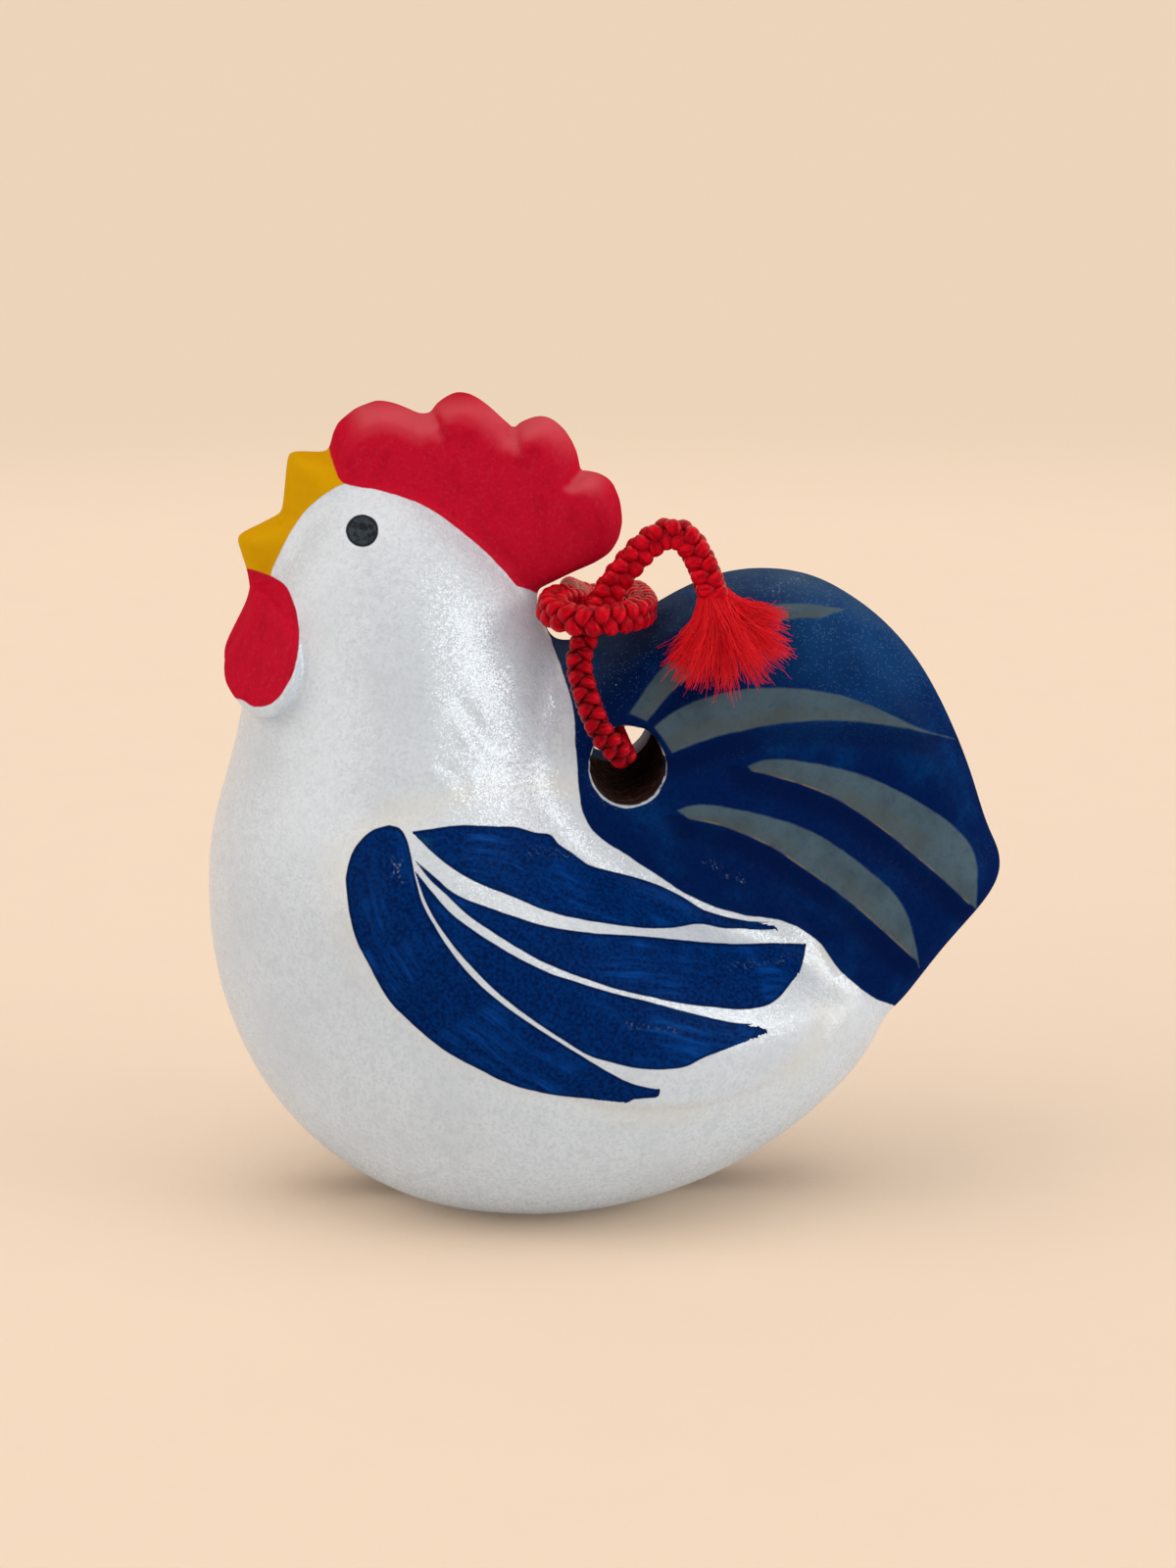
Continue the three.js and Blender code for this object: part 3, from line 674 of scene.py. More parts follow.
def hole_fields(mesh, points, near):
    """Stores where the wall of the cord hole has white slip and where it is bare clay, in millimetres."""
    from_axis = np.hypot(points[:, 0] - HOLE_X, points[:, 2] - HOLE_Z)
    ring = (from_axis > HOLE_RADIUS + LIP_BAND[0]) & (from_axis < HOLE_RADIUS + LIP_BAND[1])
    ring &= np.abs(points[:, 1]) > HOLE_RADIUS
    level = np.stack((np.ones(len(points)), points[:, 0], points[:, 2]), 1)
    plane = np.linalg.lstsq(level[ring], np.abs(points[ring, 1]), rcond=None)[0]
    depth = (level @ plane - np.abs(points[:, 1])) / MM
    if near:
        slip = NEAR_SLIP_DEPTH - depth
        clay = depth - NEAR_SLIP_DEPTH
    else:
        first, last = FAR_SLIP_DEPTHS
        slip = np.minimum(depth - first, last - depth)
        slip = np.minimum(slip, (points[:, 0] - HOLE_X) / MM + FAR_SLIP_BACK)
        clay = depth - last
    lip = np.hypot(points[:, 0] - HOLE_X - SLIP_SHIFT[0], points[:, 2] - HOLE_Z - SLIP_SHIFT[1])
    wall = (HOLE_RADIUS + WALL_REACH - from_axis) / MM
    edge = (SLIP_RADIUS - lip) / MM
    set_field(mesh, "hole_slip", np.minimum(np.maximum(wall, edge) if near else wall, slip))
    set_field(mesh, "hole_clay", np.minimum(wall, clay))


def paint_fields(mesh, near):
    """Stores how deep each point lies in each painted area, in pixels, for the paint to read."""
    points = points_of(mesh)
    places = pixels(points)
    parting = np.abs(points[:, 1]) - WATTLE_NOTCH_SLOPE * (WATTLE_NOTCH_TOP - points[:, 2])
    for name in ("comb", "beak", "tail"):
        set_field(mesh, name, depth_inside(places, OUTLINES[name]))
    wattle = np.minimum(depth_inside(places, OUTLINES["wattle"]), PIXELS_IN_MM * parting / MM)
    set_field(mesh, "wattle", wattle + WATTLE_SPILL)
    set_field(mesh, "pad", pad_radius(points))
    set_field(mesh, "eye", EYE_RADIUS - np.linalg.norm(places - EYE_CENTRE, axis=1))
    set_field(mesh, "scuff", scuff_strength(places))
    set_field(mesh, "valley", valley_depth(points, places))
    brush = np.zeros(len(points))
    deepest = np.full(len(points), -np.inf)
    for number, (upper, tip, lower) in enumerate(FEATHERS, 1):
        top = curve(upper)
        bottom = curve(lower)
        depth = depth_inside(places, np.vstack((top, tip, bottom)))
        set_field(mesh, f"feather_{number}", depth)
        close = depth > -FEATHER_REACH
        for edge, line in (("top", top), ("bottom", bottom)):
            inward = np.full(len(points), -float(FEATHER_REACH))
            inward[close] = beside(places[close], line)
            set_field(mesh, f"feather_{number}_{edge}", inward)
        deeper = close & (depth > deepest)
        brush[deeper] = distance_to(places[deeper], top) + FEATHER_SHIFT * number
        deepest[deeper] = depth[deeper]
    set_field(mesh, "brush", brush)
    set_field(mesh, "along", np.linalg.norm(places - FEATHER_ROOT, axis=1))
    for number, (upper, lower) in enumerate(STRIPES, 1):
        top, bottom = curve(upper), curve(lower)
        depth = depth_inside(places, np.vstack((top, bottom)))
        set_field(mesh, f"stripe_{number}", depth)
        close = depth > -FEATHER_REACH
        lower_down = np.zeros(len(points))
        lower_down[close] = distance_to(places[close], top) - distance_to(places[close], bottom)
        set_field(mesh, f"low_edge_{number}", lower_down)
    hole_fields(mesh, points, near)
    bare = field_of(mesh, "bare")
    slit = (np.abs(points[:, 1]) < SLIT_HALF_WIDTH + WALL_REACH) & (points[:, 2] < SLIT_TOP)
    set_field(mesh, "bare", np.maximum(bare, slit))


# Shader building

class Nodes:
    """Short names for the nodes of one material or of the room."""

    def __init__(self, owner):
        owner.use_nodes = True
        self.owner = owner
        self.tree = owner.node_tree
        self.shader = self.tree.nodes.get("Principled BSDF")

    def add(self, kind, inputs=(), output=0, **settings):
        made = self.tree.nodes.new(kind)
        for key, value in settings.items():
            setattr(made, key, value)
        for place, value in dict(inputs).items():
            self.feed(made.inputs[place], value)
        return made.outputs[output]

    def feed(self, socket, value):
        if isinstance(value, bpy.types.NodeSocket):
            self.tree.links.new(value, socket)
        else:
            socket.default_value = value

    def field(self, name):
        return self.add("ShaderNodeAttribute", output="Fac", attribute_name=name)

    def object_place(self):
        return self.add("ShaderNodeTexCoord", output="Object")

    def math(self, operation, *values):
        return self.add("ShaderNodeMath", enumerate(values), operation=operation)

    def times(self, first, second):
        return self.math("MULTIPLY", first, second)

    def span(self, value, low, high, to_low=0.0, to_high=1.0):
        """A smooth step of a value from one number to another."""
        inputs = {"Value": value, "From Min": low, "From Max": high, "To Min": to_low, "To Max": to_high}
        return self.add("ShaderNodeMapRange", inputs, interpolation_type="SMOOTHSTEP")

    def mix(self, share, first, second):
        return self.add("ShaderNodeMix", {0: share, 6: first, 7: second}, output=2, data_type="RGBA")

    def blend(self, share, first, second):
        return self.add("ShaderNodeMix", {0: share, 2: first, 3: second}, data_type="FLOAT")

    def noise(self, size, place=None, detail=3.0, rough=0.55):
        """Noise whose lumps are about the given size, in metres or in the units of the place."""
        place = place or self.object_place()
        inputs = {"Vector": place, "Scale": 1 / size, "Detail": detail, "Roughness": rough}
        return self.add("ShaderNodeTexNoise", inputs)

    def cells(self, size, output):
        inputs = {"Vector": self.object_place(), "Scale": 1 / size}
        return self.add("ShaderNodeTexVoronoi", inputs, output=output)

    def specks(self, size, share, radius):
        """Sparse round specks in a share of cells of the given size."""
        near = self.math("LESS_THAN", self.cells(size, "Distance"), radius)
        red = self.add("ShaderNodeSeparateColor", {0: self.cells(size, "Color")})
        return self.times(near, self.math("LESS_THAN", red, share))

    def facing_up(self, low, high):
        normal = self.add("ShaderNodeNewGeometry", output="Normal")
        return self.span(self.add("ShaderNodeSeparateXYZ", {0: normal}, output=2), low, high)

    def place_along(self, axis):
        return self.add("ShaderNodeSeparateXYZ", {0: self.object_place()}, output="XYZ".index(axis))

    def flake_normal(self, size, tilt):
        """The surface normal, tipped a little another way in each small flake."""
        random = self.add("ShaderNodeVectorMath", {0: self.cells(size, "Color"), 1: (0.5, 0.5, 0.5)},
                          operation="SUBTRACT")
        normal = self.add("ShaderNodeNewGeometry", output="Normal")
        tipped = self.add("ShaderNodeVectorMath", {0: random, 1: (tilt, tilt, tilt), 2: normal},
                          operation="MULTIPLY_ADD")
        return self.add("ShaderNodeVectorMath", {0: tipped}, operation="NORMALIZE")

    def bump(self, height, distance):
        return self.add("ShaderNodeBump", {"Height": height, "Distance": distance, "Strength": 1.0})

    def finish(self, colour, roughness, normal):
        self.feed(self.shader.inputs["Base Color"], colour)
        self.feed(self.shader.inputs["Roughness"], roughness)
        self.feed(self.shader.inputs["Normal"], normal)
        return self.owner


# Materials

def painted_clay():
    n = Nodes(bpy.data.materials.new("painted_clay"))
    wobble = n.times(n.math("SUBTRACT", n.noise(1.3 * MM, detail=2), 0.5), 2.2)

    def area(name, soft=0.8):
        return n.span(n.math("ADD", n.field(name), wobble), -soft, soft)

    def either(masks):
        total = masks[0]
        for mask in masks[1:]:
            total = n.math("MAXIMUM", total, mask)
        return total

    grain = n.noise(0.30 * MM, detail=2)
    blotch = n.noise(6 * MM, detail=4)
    top_light = n.facing_up(0.12, 0.92)

    # Pearl white, greyer in soft blotches, and lighter and creamier low down: partly the paint's own cream
    # tone, partly painted warm light from the floor
    low = n.times(n.span(n.place_along("Z"), 22 * MM, 4 * MM), n.span(blotch, 0.2, 0.7, 0.2, 0.6))
    white = n.mix(low, WHITE, CREAM_AND_BOUNCE)
    white = n.mix(n.span(blotch, 0.40, 0.80, 0, 0.6), white, WHITE_GREY)
    white = n.mix(n.span(n.noise(0.9 * MM, detail=3), 0.45, 0.75, 0, 0.6), white, WHITE_GREY)
    white = n.mix(n.span(grain, 0.4, 0.75, 0, 0.8), white, WHITE_GREY)
    ring = n.times(n.span(n.field("pad"), 0.92, 1.04), n.span(n.field("pad"), 1.22, 1.04))
    white = n.mix(n.times(ring, n.span(blotch, 0.35, 0.65, 0.15, 0.55)), white, PAD_CREAM)
    white = n.mix(n.times(n.specks(5.5 * MM, 0.16, 0.030), 0.6), white, TAN)

    # Wing blue with brush strokes, thin at the root of the feathers
    sway = n.times(n.noise(9 * MM, detail=1), 24.0)
    stroke = n.times(n.field("along"), 0.09)
    across = n.math("ADD", n.field("brush"), sway)
    streak = n.noise(9.0, n.add("ShaderNodeCombineXYZ", {0: across, 1: stroke}), detail=4, rough=0.65)
    loaded = n.span(n.noise(4.5 * MM, detail=2), 0.44, 0.66)
    blue = n.mix(n.span(grain, 0.30, 0.70, 0, 0.85), WING_BLUE, WING_EDGE)
    blue = n.mix(n.times(n.span(streak, 0.40, 0.75), loaded), blue, WING_LIGHT)
    thin = n.times(n.span(n.field("along"), 26, 6), n.span(streak, 0.35, 0.6))
    blue = n.mix(n.times(thin, n.span(n.field("feather_1"), -4, -8)), blue, WING_THIN)
    chips = n.specks(2.6 * MM, 0.16, 0.035)
    blue = n.mix(n.times(chips, 0.5), blue, WHITE_GREY)

    # Tail navy, with painted shade in the valleys between its ribs, a painted sheen on its upper back, dust
    # and a painted sheen where it faces up, and painted glints there
    navy = n.mix(n.span(n.noise(5 * MM, detail=5), 0.45, 0.85), NAVY, NAVY_LIGHT)
    navy = n.mix(n.span(grain, 0.4, 0.8, 0, 0.6), navy, NAVY_DEEP)
    # painted shade: darker in the valleys between the ribs of the tail
    navy = n.mix(n.span(n.field("valley"), 0.1, 0.9, 0.0, 0.7), navy, NAVY_DEEP)
    # painted sheen: lighter and bluer on the upper back of the tail
    upper = n.span(n.place_along("Z"), 36 * MM, 50 * MM)
    upper = n.times(upper, n.span(n.place_along("X"), 6 * MM, 20 * MM))
    navy = n.mix(n.times(upper, n.span(blotch, 0.3, 0.7, 0.4, 0.9)), navy, NAVY_SHEEN)
    # dust and painted sheen: paler where the tail faces up
    dust_and_sheen = n.times(n.facing_up(0.45, 0.98), n.span(blotch, 0.3, 0.7, 0.35, 0.9))
    navy = n.mix(dust_and_sheen, navy, NAVY_DUST_AND_SHEEN)
    # painted glints: pale mica flecks shown only on the upper back and where the tail faces up
    bright = n.math("MAXIMUM", upper, n.facing_up(0.2, 0.7))
    painted_glints = n.times(n.specks(0.17 * MM, 0.30, 0.36), bright)
    navy = n.mix(n.times(painted_glints, 0.42), navy, NAVY_GLINT)
    navy = n.mix(n.times(chips, 0.4), navy, WHITE_GREY)

    olive = n.mix(n.span(n.noise(3 * MM, detail=5), 0.40, 0.75), OLIVE, OLIVE_DARK)
    olive = n.mix(n.span(grain, 0.45, 0.85, 0, 0.4), olive, OLIVE_DARK)
    numbers = range(1, len(STRIPES) + 1)
    stripes = [area(f"stripe_{k}", 1.6) for k in numbers]
    lower = either([n.times(stripe, n.span(n.field(f"low_edge_{k}"), -8, 14))
                    for k, stripe in zip(numbers, stripes)])
    olive = n.mix(n.times(lower, n.span(blotch, 0.35, 0.6, 0.1, 0.5)), olive, OLIVE_BROWN)

    red = n.mix(n.span(n.noise(1.6 * MM, detail=4), 0.45, 0.75, 0, 0.6), RED, RED_DARK)
    red = n.mix(n.span(n.noise(0.45 * MM, detail=3), 0.50, 0.75, 0, 0.5), red, RED_DARK)
    red = n.mix(n.span(grain, 0.5, 0.85, 0, 0.16), red, RED_PALE_AND_LIT)
    # painted highlight with some wear: paler red on the comb's top, where it faces up
    wear_and_highlight = n.times(n.times(top_light, n.span(n.field("comb"), 16, 46)), 0.80)
    red = n.mix(wear_and_highlight, red, RED_PALE_AND_LIT)
    yellow = n.mix(n.span(n.noise(1.4 * MM, detail=3), 0.50, 0.85, 0, 0.6), YELLOW, YELLOW_DARK)
    # painted highlight: grey smears across the black eye
    eye = n.mix(n.span(n.noise(0.7 * MM), 0.40, 0.60), EYE_BLACK, EYE_HIGHLIGHT_GREY)
    eye = n.mix(n.span(n.field("eye"), 4.0, 1.0), eye, EYE_BLACK)
    clay = n.mix(n.span(n.noise(1.2 * MM, detail=5), 0.4, 0.7), CLAY_DARK, CLAY)
    # painted shade: the bare clay deep in the cord hole, darkened nearly to black
    shaded_hole_clay = n.mix(n.span(n.noise(0.8 * MM, detail=5), 0.4, 0.8), CLAY_SHADE_BLACK, CLAY_DARK)

    def feather(name):
        edges = n.math("MINIMUM", n.field(name + "_top"), n.field(name + "_bottom"))
        sliver = n.math("MINIMUM", edges, n.math("ADD", n.field(name), 5.0))
        return n.math("MAXIMUM", n.field(name), sliver)

    feather_depth = either([feather(f"feather_{k}") for k in range(1, len(FEATHERS) + 1)])
    feathers = n.span(n.math("ADD", feather_depth, n.times(wobble, 0.6)), -0.8, 0.8)
    blue = n.mix(n.span(feather_depth, 4.5, 1.0, 0, 0.7), blue, WING_EDGE)
    ochre = []
    for k in numbers[2:]:
        band = n.math("SUBTRACT", 1.0, n.span(n.math("ABSOLUTE", n.field(f"stripe_{k}")), 0.4, 1.6))
        ochre.append(n.times(band, n.span(n.field(f"low_edge_{k}"), 2, 8)))
    stripe_mask = n.times(either(stripes), n.span(n.noise(0.7 * MM), 0.25, 0.50, 0.80, 0.97))
    ochre_mask = n.times(either(ochre), n.span(n.noise(2.5 * MM), 0.4, 0.6, 0.1, 0.45))
    reds = either([area("comb"), area("wattle")])
    scratch = n.noise(0.35 * MM, detail=5, rough=0.7)
    scuffs = n.times(n.span(n.field("scuff"), 0.0, 0.9), n.span(scratch, 0.52, 0.68, 0, 0.75))
    ragged = n.times(wobble, 0.10)
    slip_mask = n.span(n.math("ADD", n.field("hole_slip"), ragged), -0.05, 0.05)
    clay_mask = n.span(n.math("ADD", n.field("hole_clay"), ragged), -0.05, 0.10)

    # Each coat over the one before, with its roughness and how much clear gloss it has
    layers = [
        (feathers, blue, 0.50, 0.012),
        (area("tail"), navy, 0.48, 0.014),
        (stripe_mask, olive, 0.55, 0.02),
        (ochre_mask, OCHRE, 0.60, 0.0),
        (area("beak"), yellow, 0.50, 0.02),
        (reds, red, 0.52, 0.02),
        (scuffs, SCUFF_GREY, 0.60, 0.0),
        (area("eye", 0.7), eye, 0.25, 0.10),
        (slip_mask, WHITE_GREY, 0.55, 0.0),
        # painted shade deep in the cord hole
        (clay_mask, shaded_hole_clay, 0.9, 0.0),
        (n.field("bare"), clay, 0.95, 0.0),
    ]
    colour, roughness, gloss = white, 0.42, 1.0
    for mask, paint, rough, coat in layers:
        colour = n.mix(mask, colour, paint)
        roughness = n.blend(mask, roughness, rough)
        gloss = n.blend(mask, gloss, coat)
    roughness = n.math("ADD", roughness, n.times(n.math("SUBTRACT", grain, 0.5), 0.12))

    film = n.math("ADD", either([feathers, area("tail"), reds, area("beak"), area("eye")]), stripe_mask)
    strokes = n.times(n.times(streak, feathers), 0.5)
    texture = n.math("ADD", strokes, n.times(grain, 0.30))
    height = n.math("ADD", n.times(film, 0.6), texture)
    normal = n.bump(height, 0.045 * MM)

    n.shader.inputs["Specular IOR Level"].default_value = 0.0
    n.shader.inputs["Coat IOR"].default_value = 2.0
    n.shader.inputs["Coat Roughness"].default_value = 0.25
    n.feed(n.shader.inputs["Coat Weight"], gloss)
    n.feed(n.shader.inputs["Coat Normal"], n.flake_normal(0.11 * MM, 0.32))
    return n.finish(colour, roughness, normal)


def bare_clay():
    n = Nodes(bpy.data.materials.new("bare_clay"))
    colour = n.mix(n.span(n.noise(1.1 * MM, detail=6), 0.35, 0.7), CLAY_DARK, CLAY)
    colour = n.mix(n.times(n.specks(0.9 * MM, 0.3, 0.2), 0.6), colour, CLAY_SPECK)
    roughness = n.span(n.noise(0.5 * MM), 0.3, 0.7, 0.8, 0.98)
    return n.finish(colour, roughness, n.bump(n.noise(0.6 * MM, detail=6), 0.12 * MM))


def yarn(name, gap, deep, light, ply, roughness, sheen):
    """Silky yarn: fine fibres along each strand, with painted shade in the gaps between the cord's strands.
    """
    n = Nodes(bpy.data.materials.new(name))
    along = n.add("ShaderNodeTexCoord", output="UV")
    stretch = n.add("ShaderNodeMapping", {"Vector": along, "Scale": (ply, 0.9, 1)})
    fibres = n.noise(1.0, stretch, detail=4, rough=0.65)
    patch = n.noise(2.2 * MM, detail=3)
    colour = n.mix(n.span(fibres, 0.3, 0.7), deep, light)
    colour = n.mix(n.span(patch, 0.4, 0.8, 0, 0.4), colour, deep)
    # painted shade: the cord darkens in the gaps between its strands; in the frayed ends, some fibres are
    # darker at random
    colour = n.mix(n.field("outer"), gap, colour)
    n.shader.inputs["Sheen Weight"].default_value = sheen
    n.shader.inputs["Sheen Roughness"].default_value = 0.4
    n.shader.inputs["Sheen Tint"].default_value = RED_SHEEN
    n.shader.inputs["Specular IOR Level"].default_value = 0.30
    n.shader.inputs["Specular Tint"].default_value = (1, 0.08, 0.11, 1)
    shine = n.span(fibres, 0.2, 0.8, roughness + 0.12, roughness - 0.06)
    return n.finish(colour, shine, n.bump(fibres, 0.05 * MM))


def plain_paper():
    """Peach paper to look at, which throws a neutral light on the piece that stands on it."""
    n = Nodes(bpy.data.materials.new("paper"))
    away = n.add("ShaderNodeVectorMath", {0: n.object_place()}, output="Value", operation="LENGTH")
    # painted pool of light: the paper is lighter near the piece and darker further away
    seen = n.mix(n.span(away, *PAPER_LIGHT_FALLOFF), PEACH, PEACH_FAR)
    seen = n.mix(n.span(n.noise(9 * MM, detail=6), 0.3, 0.75, 0, 0.10), seen, PEACH_FAR)
    colour = n.mix(seen_directly(n), PAPER_GREY, seen)
    n.shader.inputs["Specular IOR Level"].default_value = 0.1
    return n.finish(colour, 0.95, n.bump(n.noise(0.8 * MM, detail=4), 0.03 * MM))


def seen_directly(n):
    """One where a ray comes from the camera, a mirror or glass, and none where it carries diffuse light."""
    total = n.add("ShaderNodeLightPath", output="Is Camera Ray")
    for ray in ("Is Glossy Ray", "Is Transmission Ray"):
        total = n.math("MAXIMUM", total, n.add("ShaderNodeLightPath", output=ray))
    return total


# Cord

def frames_along(path):
    """Tangents along a path, with two side directions that turn as little as they can."""
    tangents = np.gradient(path, axis=0)
    tangents /= np.linalg.norm(tangents, axis=1)[:, None]
    side = np.cross(tangents[0], (0, 1, 0))
    sides = []
    for tangent in tangents:
        side = side - (side @ tangent) * tangent
        side = side / np.linalg.norm(side)
        sides.append(side)
    sides = np.array(sides)
    return tangents, sides, np.cross(tangents, sides)


def even_path(points, step):
    """The points of a line at even steps along it."""
    along = np.concatenate(([0], np.cumsum(np.linalg.norm(np.diff(points, axis=0), axis=1))))
    wanted = np.linspace(0, along[-1], int(round(along[-1] / step)) + 1)
    return np.stack([np.interp(wanted, along, points[:, k]) for k in range(3)], 1), wanted


def swept(path, sides, ups, half_side, half_up, corners):
    """Rings of an oval section along a path."""
    turn = 2 * math.pi * np.arange(corners) / corners
    flat = (half_side[:, None] * np.cos(turn))[:, :, None] * sides[:, None, :]
    return path[:, None, :] + flat + (half_up[:, None] * np.sin(turn))[:, :, None] * ups[:, None, :]


def braid_roll(tangents, sides, ups):
    """The roll of the braid along the cord, with two rows of its strands side by side towards the viewer."""
    towards = np.arctan2(-ups[:, 1], -sides[:, 1])
    clear = np.flatnonzero(np.abs(tangents[:, 1]) < ROLL_LIMIT)
    roll = np.unwrap(towards[clear], period=math.pi / 2)
    roll = np.interp(np.arange(len(tangents)), clear, roll)
    padded = np.pad(roll, ROLL_STEPS // 2, mode="edge")
    return np.convolve(padded, np.ones(ROLL_STEPS) / ROLL_STEPS, "valid")


def braid(path, along):
    """A core, and strands that wind both ways round it and take turns outside."""
    tangents, sides, ups = frames_along(path)
    roll = braid_roll(tangents, sides, ups)
    girth = np.interp(along, CORD_GIRTH_PLACES, CORD_GIRTH_SHARES)
    core = CORE_RADIUS * girth
    tubes = [swept(path, sides, ups, core, core, CORE_CORNERS)]
    for way in (1, -1):
        for k in range(STRANDS_EACH_WAY):
            turns = way * along / BRAID_PITCH + k / STRANDS_EACH_WAY + OTHER_WAY_SHIFT * (way < 0)
            angle = 2 * math.pi * turns
            out = np.cos(angle + roll)[:, None] * sides + np.sin(angle + roll)[:, None] * ups
            orbit = girth * (STRAND_ORBIT + way * STRAND_WEAVE * np.sin(2 * angle))
            line = path + orbit[:, None] * out
            run = np.gradient(line, axis=0)
            run /= np.linalg.norm(run, axis=1)[:, None]
            flat = np.cross(out, run)
            flat /= np.linalg.norm(flat, axis=1)[:, None]
            wide, deep = STRAND_HALF_WIDTH * girth, STRAND_HALF_DEPTH * girth
            tubes.append(swept(line, flat, out, wide, deep, STRAND_CORNERS))
    return tubes


def fray(end, outward, normal):
    """Fine crimped fibres that spread like a fan from the cut end of the cord, in bunches."""
    across = np.cross(normal, outward)
    across /= np.linalg.norm(across)
    normal = np.cross(outward, across)
    steps = np.linspace(0, 1, FIBRE_STEPS)[:, None]
    girth = FIBRE_RADIUS * np.linspace(1, FIBRE_TIP, FIBRE_STEPS)
    widest = max(abs(lean) for lean, _ in FRAY_BUNCHES)
    tubes = []
    for lean, reach in FRAY_BUNCHES:
        bunch_lift = rng.normal(0, FRAY_DEPTH)
        for _ in range(FIBRES_IN_BUNCH):
            swing = math.radians(lean) + rng.normal(0, FRAY_SPREAD)
            lift = bunch_lift + rng.normal(0, FRAY_DEPTH)
            length = reach * rng.uniform(*FIBRE_LENGTHS)
            sideways = ROOT_LEAN * lean / widest + rng.normal(0, ROOT_SCATTER)
            root_side = CORD_DIAMETER / 2 * np.clip(sideways, -ROOT_LIMIT, ROOT_LIMIT)
            room = math.sqrt((CORD_DIAMETER / 2) ** 2 - root_side ** 2)
            root_up = room * rng.uniform(-ROOT_RISE, ROOT_RISE)
            root = end + root_side * across + root_up * normal - FIBRE_ROOT * outward
            aim = math.cos(swing) * outward + math.sin(swing) * across + math.tan(lift) * normal
            aim /= np.linalg.norm(aim)
            start = outward + FIBRE_BEND * (aim - outward)
            crimp = np.sin(2 * math.pi * (steps * rng.uniform(*CRIMP_TURNS) + rng.uniform()))
            curl = rng.normal(0, FIBRE_CURL, 3) * steps ** 2
            curl += rng.normal(0, FIBRE_CRIMP, 3) * crimp * steps
            line = root + length * (start * (steps - steps ** 2) + aim * steps ** 2) + curl
            _, sides, ups = frames_along(line)
            tubes.append(swept(line, sides, ups, girth, girth, FIBRE_CORNERS))
    return tubes


def make_cord():
    route = curve(CORD_ROUTE, ROUTE_PARTS) * MM
    path, along = even_path(route, CORD_STEP)
    red_cord = yarn("red_cord", CORD_GAP_SHADE, CORD_DEEP, CORD_RED, 9, 0.27, 0.05)
    red_fray = yarn("red_fray", FRAY_GAP, FRAY_RED, FRAY_LIGHT, 2, 0.50, 0.35)
    strands = braid(path, along)
    cord_mesh = tube_mesh("braided_cord", strands)
    from_middle = np.concatenate([np.linalg.norm(rings - path[:, None], axis=2).ravel() for rings in strands])
    # painted shade: how far out from the middle of the cord each point lies, dark in the gaps between the
    # strands
    set_field(cord_mesh, "outer", np.clip((from_middle - GAP_RADIUS) / (CREST_RADIUS - GAP_RADIUS), 0, 1))
    cord = add_object("braided_cord", cord_mesh, red_cord)
    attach(cord, "bell")
    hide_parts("cord")
    for name, end, before, node in (
            ("frayed_end_left", path[0], path[END_STEPS], "tassel_left"),
            ("frayed_end_right", path[-1], path[-1 - END_STEPS], "tassel_right")):
        outward = (end - before) / np.linalg.norm(end - before)
        normal = np.array((0.0, 1.0 if end[1] > 0 else -1.0, 0.0))
        fray_mesh = tube_mesh(name, fray(end, outward, normal))
        shades = rng.uniform(*FIBRE_SHADES, len(fray_mesh.vertices) // FIBRE_RING)
        set_field(fray_mesh, "outer", shades.repeat(FIBRE_RING))
        piece = add_object(name, fray_mesh, red_fray)
        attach(piece, "bell")
        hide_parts(node)


# Pieces

def make_shell():
    whole = whole_shell()
    smooth_shell(whole)
    relief(whole)
    finer_at_edges(whole)
    paint = painted_clay()
    halves = (("painted_half_left", "shell_left", -1), ("painted_half_right", "shell_right", 1))
    for name, node, side in halves:
        mesh = half_shell(whole, side)
        mesh.name = name
        paint_fields(mesh, side < 0)
        piece = add_object(name, mesh, paint)
        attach(piece, "bell")
        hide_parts(node)


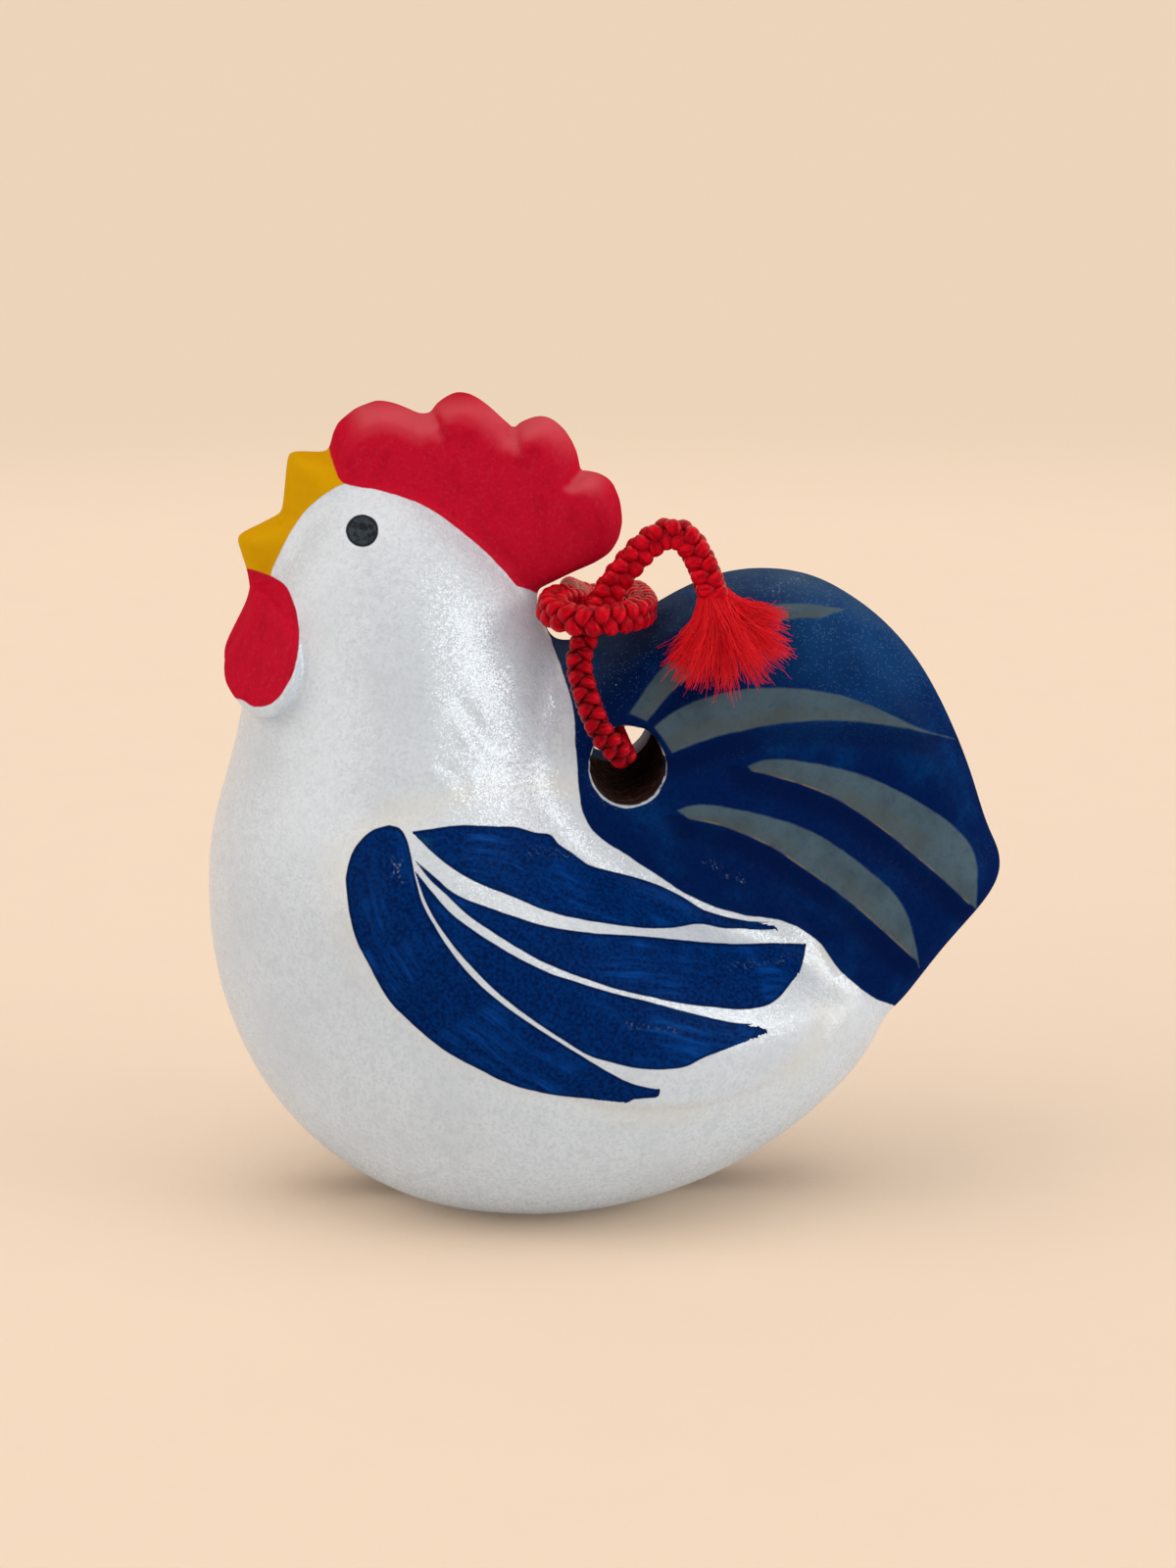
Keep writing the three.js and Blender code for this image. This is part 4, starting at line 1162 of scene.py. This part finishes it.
def make_pellet():
    low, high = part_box("clay_pellet")
    ball = bmesh.new()
    bmesh.ops.create_icosphere(ball, subdivisions=5, radius=(high.x - low.x) / 2)
    mesh = bpy.data.meshes.new("rolled_pellet")
    ball.to_mesh(mesh)
    ball.free()
    points = points_of(mesh)
    shrink = 1 - PELLET_DENT * (1 + tiny_waves(points, PELLET_LENGTHS, PELLET_WAVES)).clip(0, 2)
    set_points(mesh, points * shrink[:, None] + np.array((low + high) / 2))
    mesh.shade_smooth()
    piece = add_object("rolled_pellet", mesh, bare_clay())
    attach(piece, "pellet")
    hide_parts("clay_pellet")


# Stage and light

def make_stage():
    mesh = bpy.data.meshes.new("paper")
    signs = ((-1, -1), (1, -1), (1, 1), (-1, 1))
    mesh.from_pydata([(x * PAPER_HALF, y * PAPER_HALF, 0) for x, y in signs], [], [(0, 1, 2, 3)])
    add_object("paper", mesh, plain_paper())


def soft_light(name, direction, softness, strength, colour, shadow):
    """Even light from one direction, as from a large lamp far away."""
    lamp = bpy.data.lights.new(name, "SUN")
    lamp.use_shadow = shadow
    lamp.angle = math.radians(softness)
    lamp.energy = strength
    lamp.color = colour
    light = bpy.data.objects.new(name, lamp)
    light.rotation_euler = Vector(direction).to_track_quat("-Z", "Y").to_euler()
    bpy.context.scene.collection.objects.link(light)


def make_light():
    """A bright room with soft lamps."""
    world = bpy.data.worlds.new("room")
    bpy.context.scene.world = world
    n = Nodes(world)
    towards = n.add("ShaderNodeTexCoord", output="Generated")
    front_to_back = n.add("ShaderNodeSeparateXYZ", {0: towards}, output=1)
    strength = n.span(front_to_back, *ROOM_TURN, ROOM_FRONT, ROOM_SIDES)
    walls = n.add("ShaderNodeBackground", {"Color": ROOM_LIGHT, "Strength": strength})
    far_paper = n.add("ShaderNodeBackground", {"Color": PEACH_HORIZON})
    room = n.add("ShaderNodeMixShader", {0: seen_directly(n), 1: walls, 2: far_paper})
    n.feed(n.tree.nodes["World Output"].inputs["Surface"], room)
    for lamp in LAMPS:
        soft_light(*lamp)
    bpy.context.scene.view_settings.view_transform = "Standard"


make_camera()
make_cord()
make_shell()
make_pellet()
make_stage()
make_light()
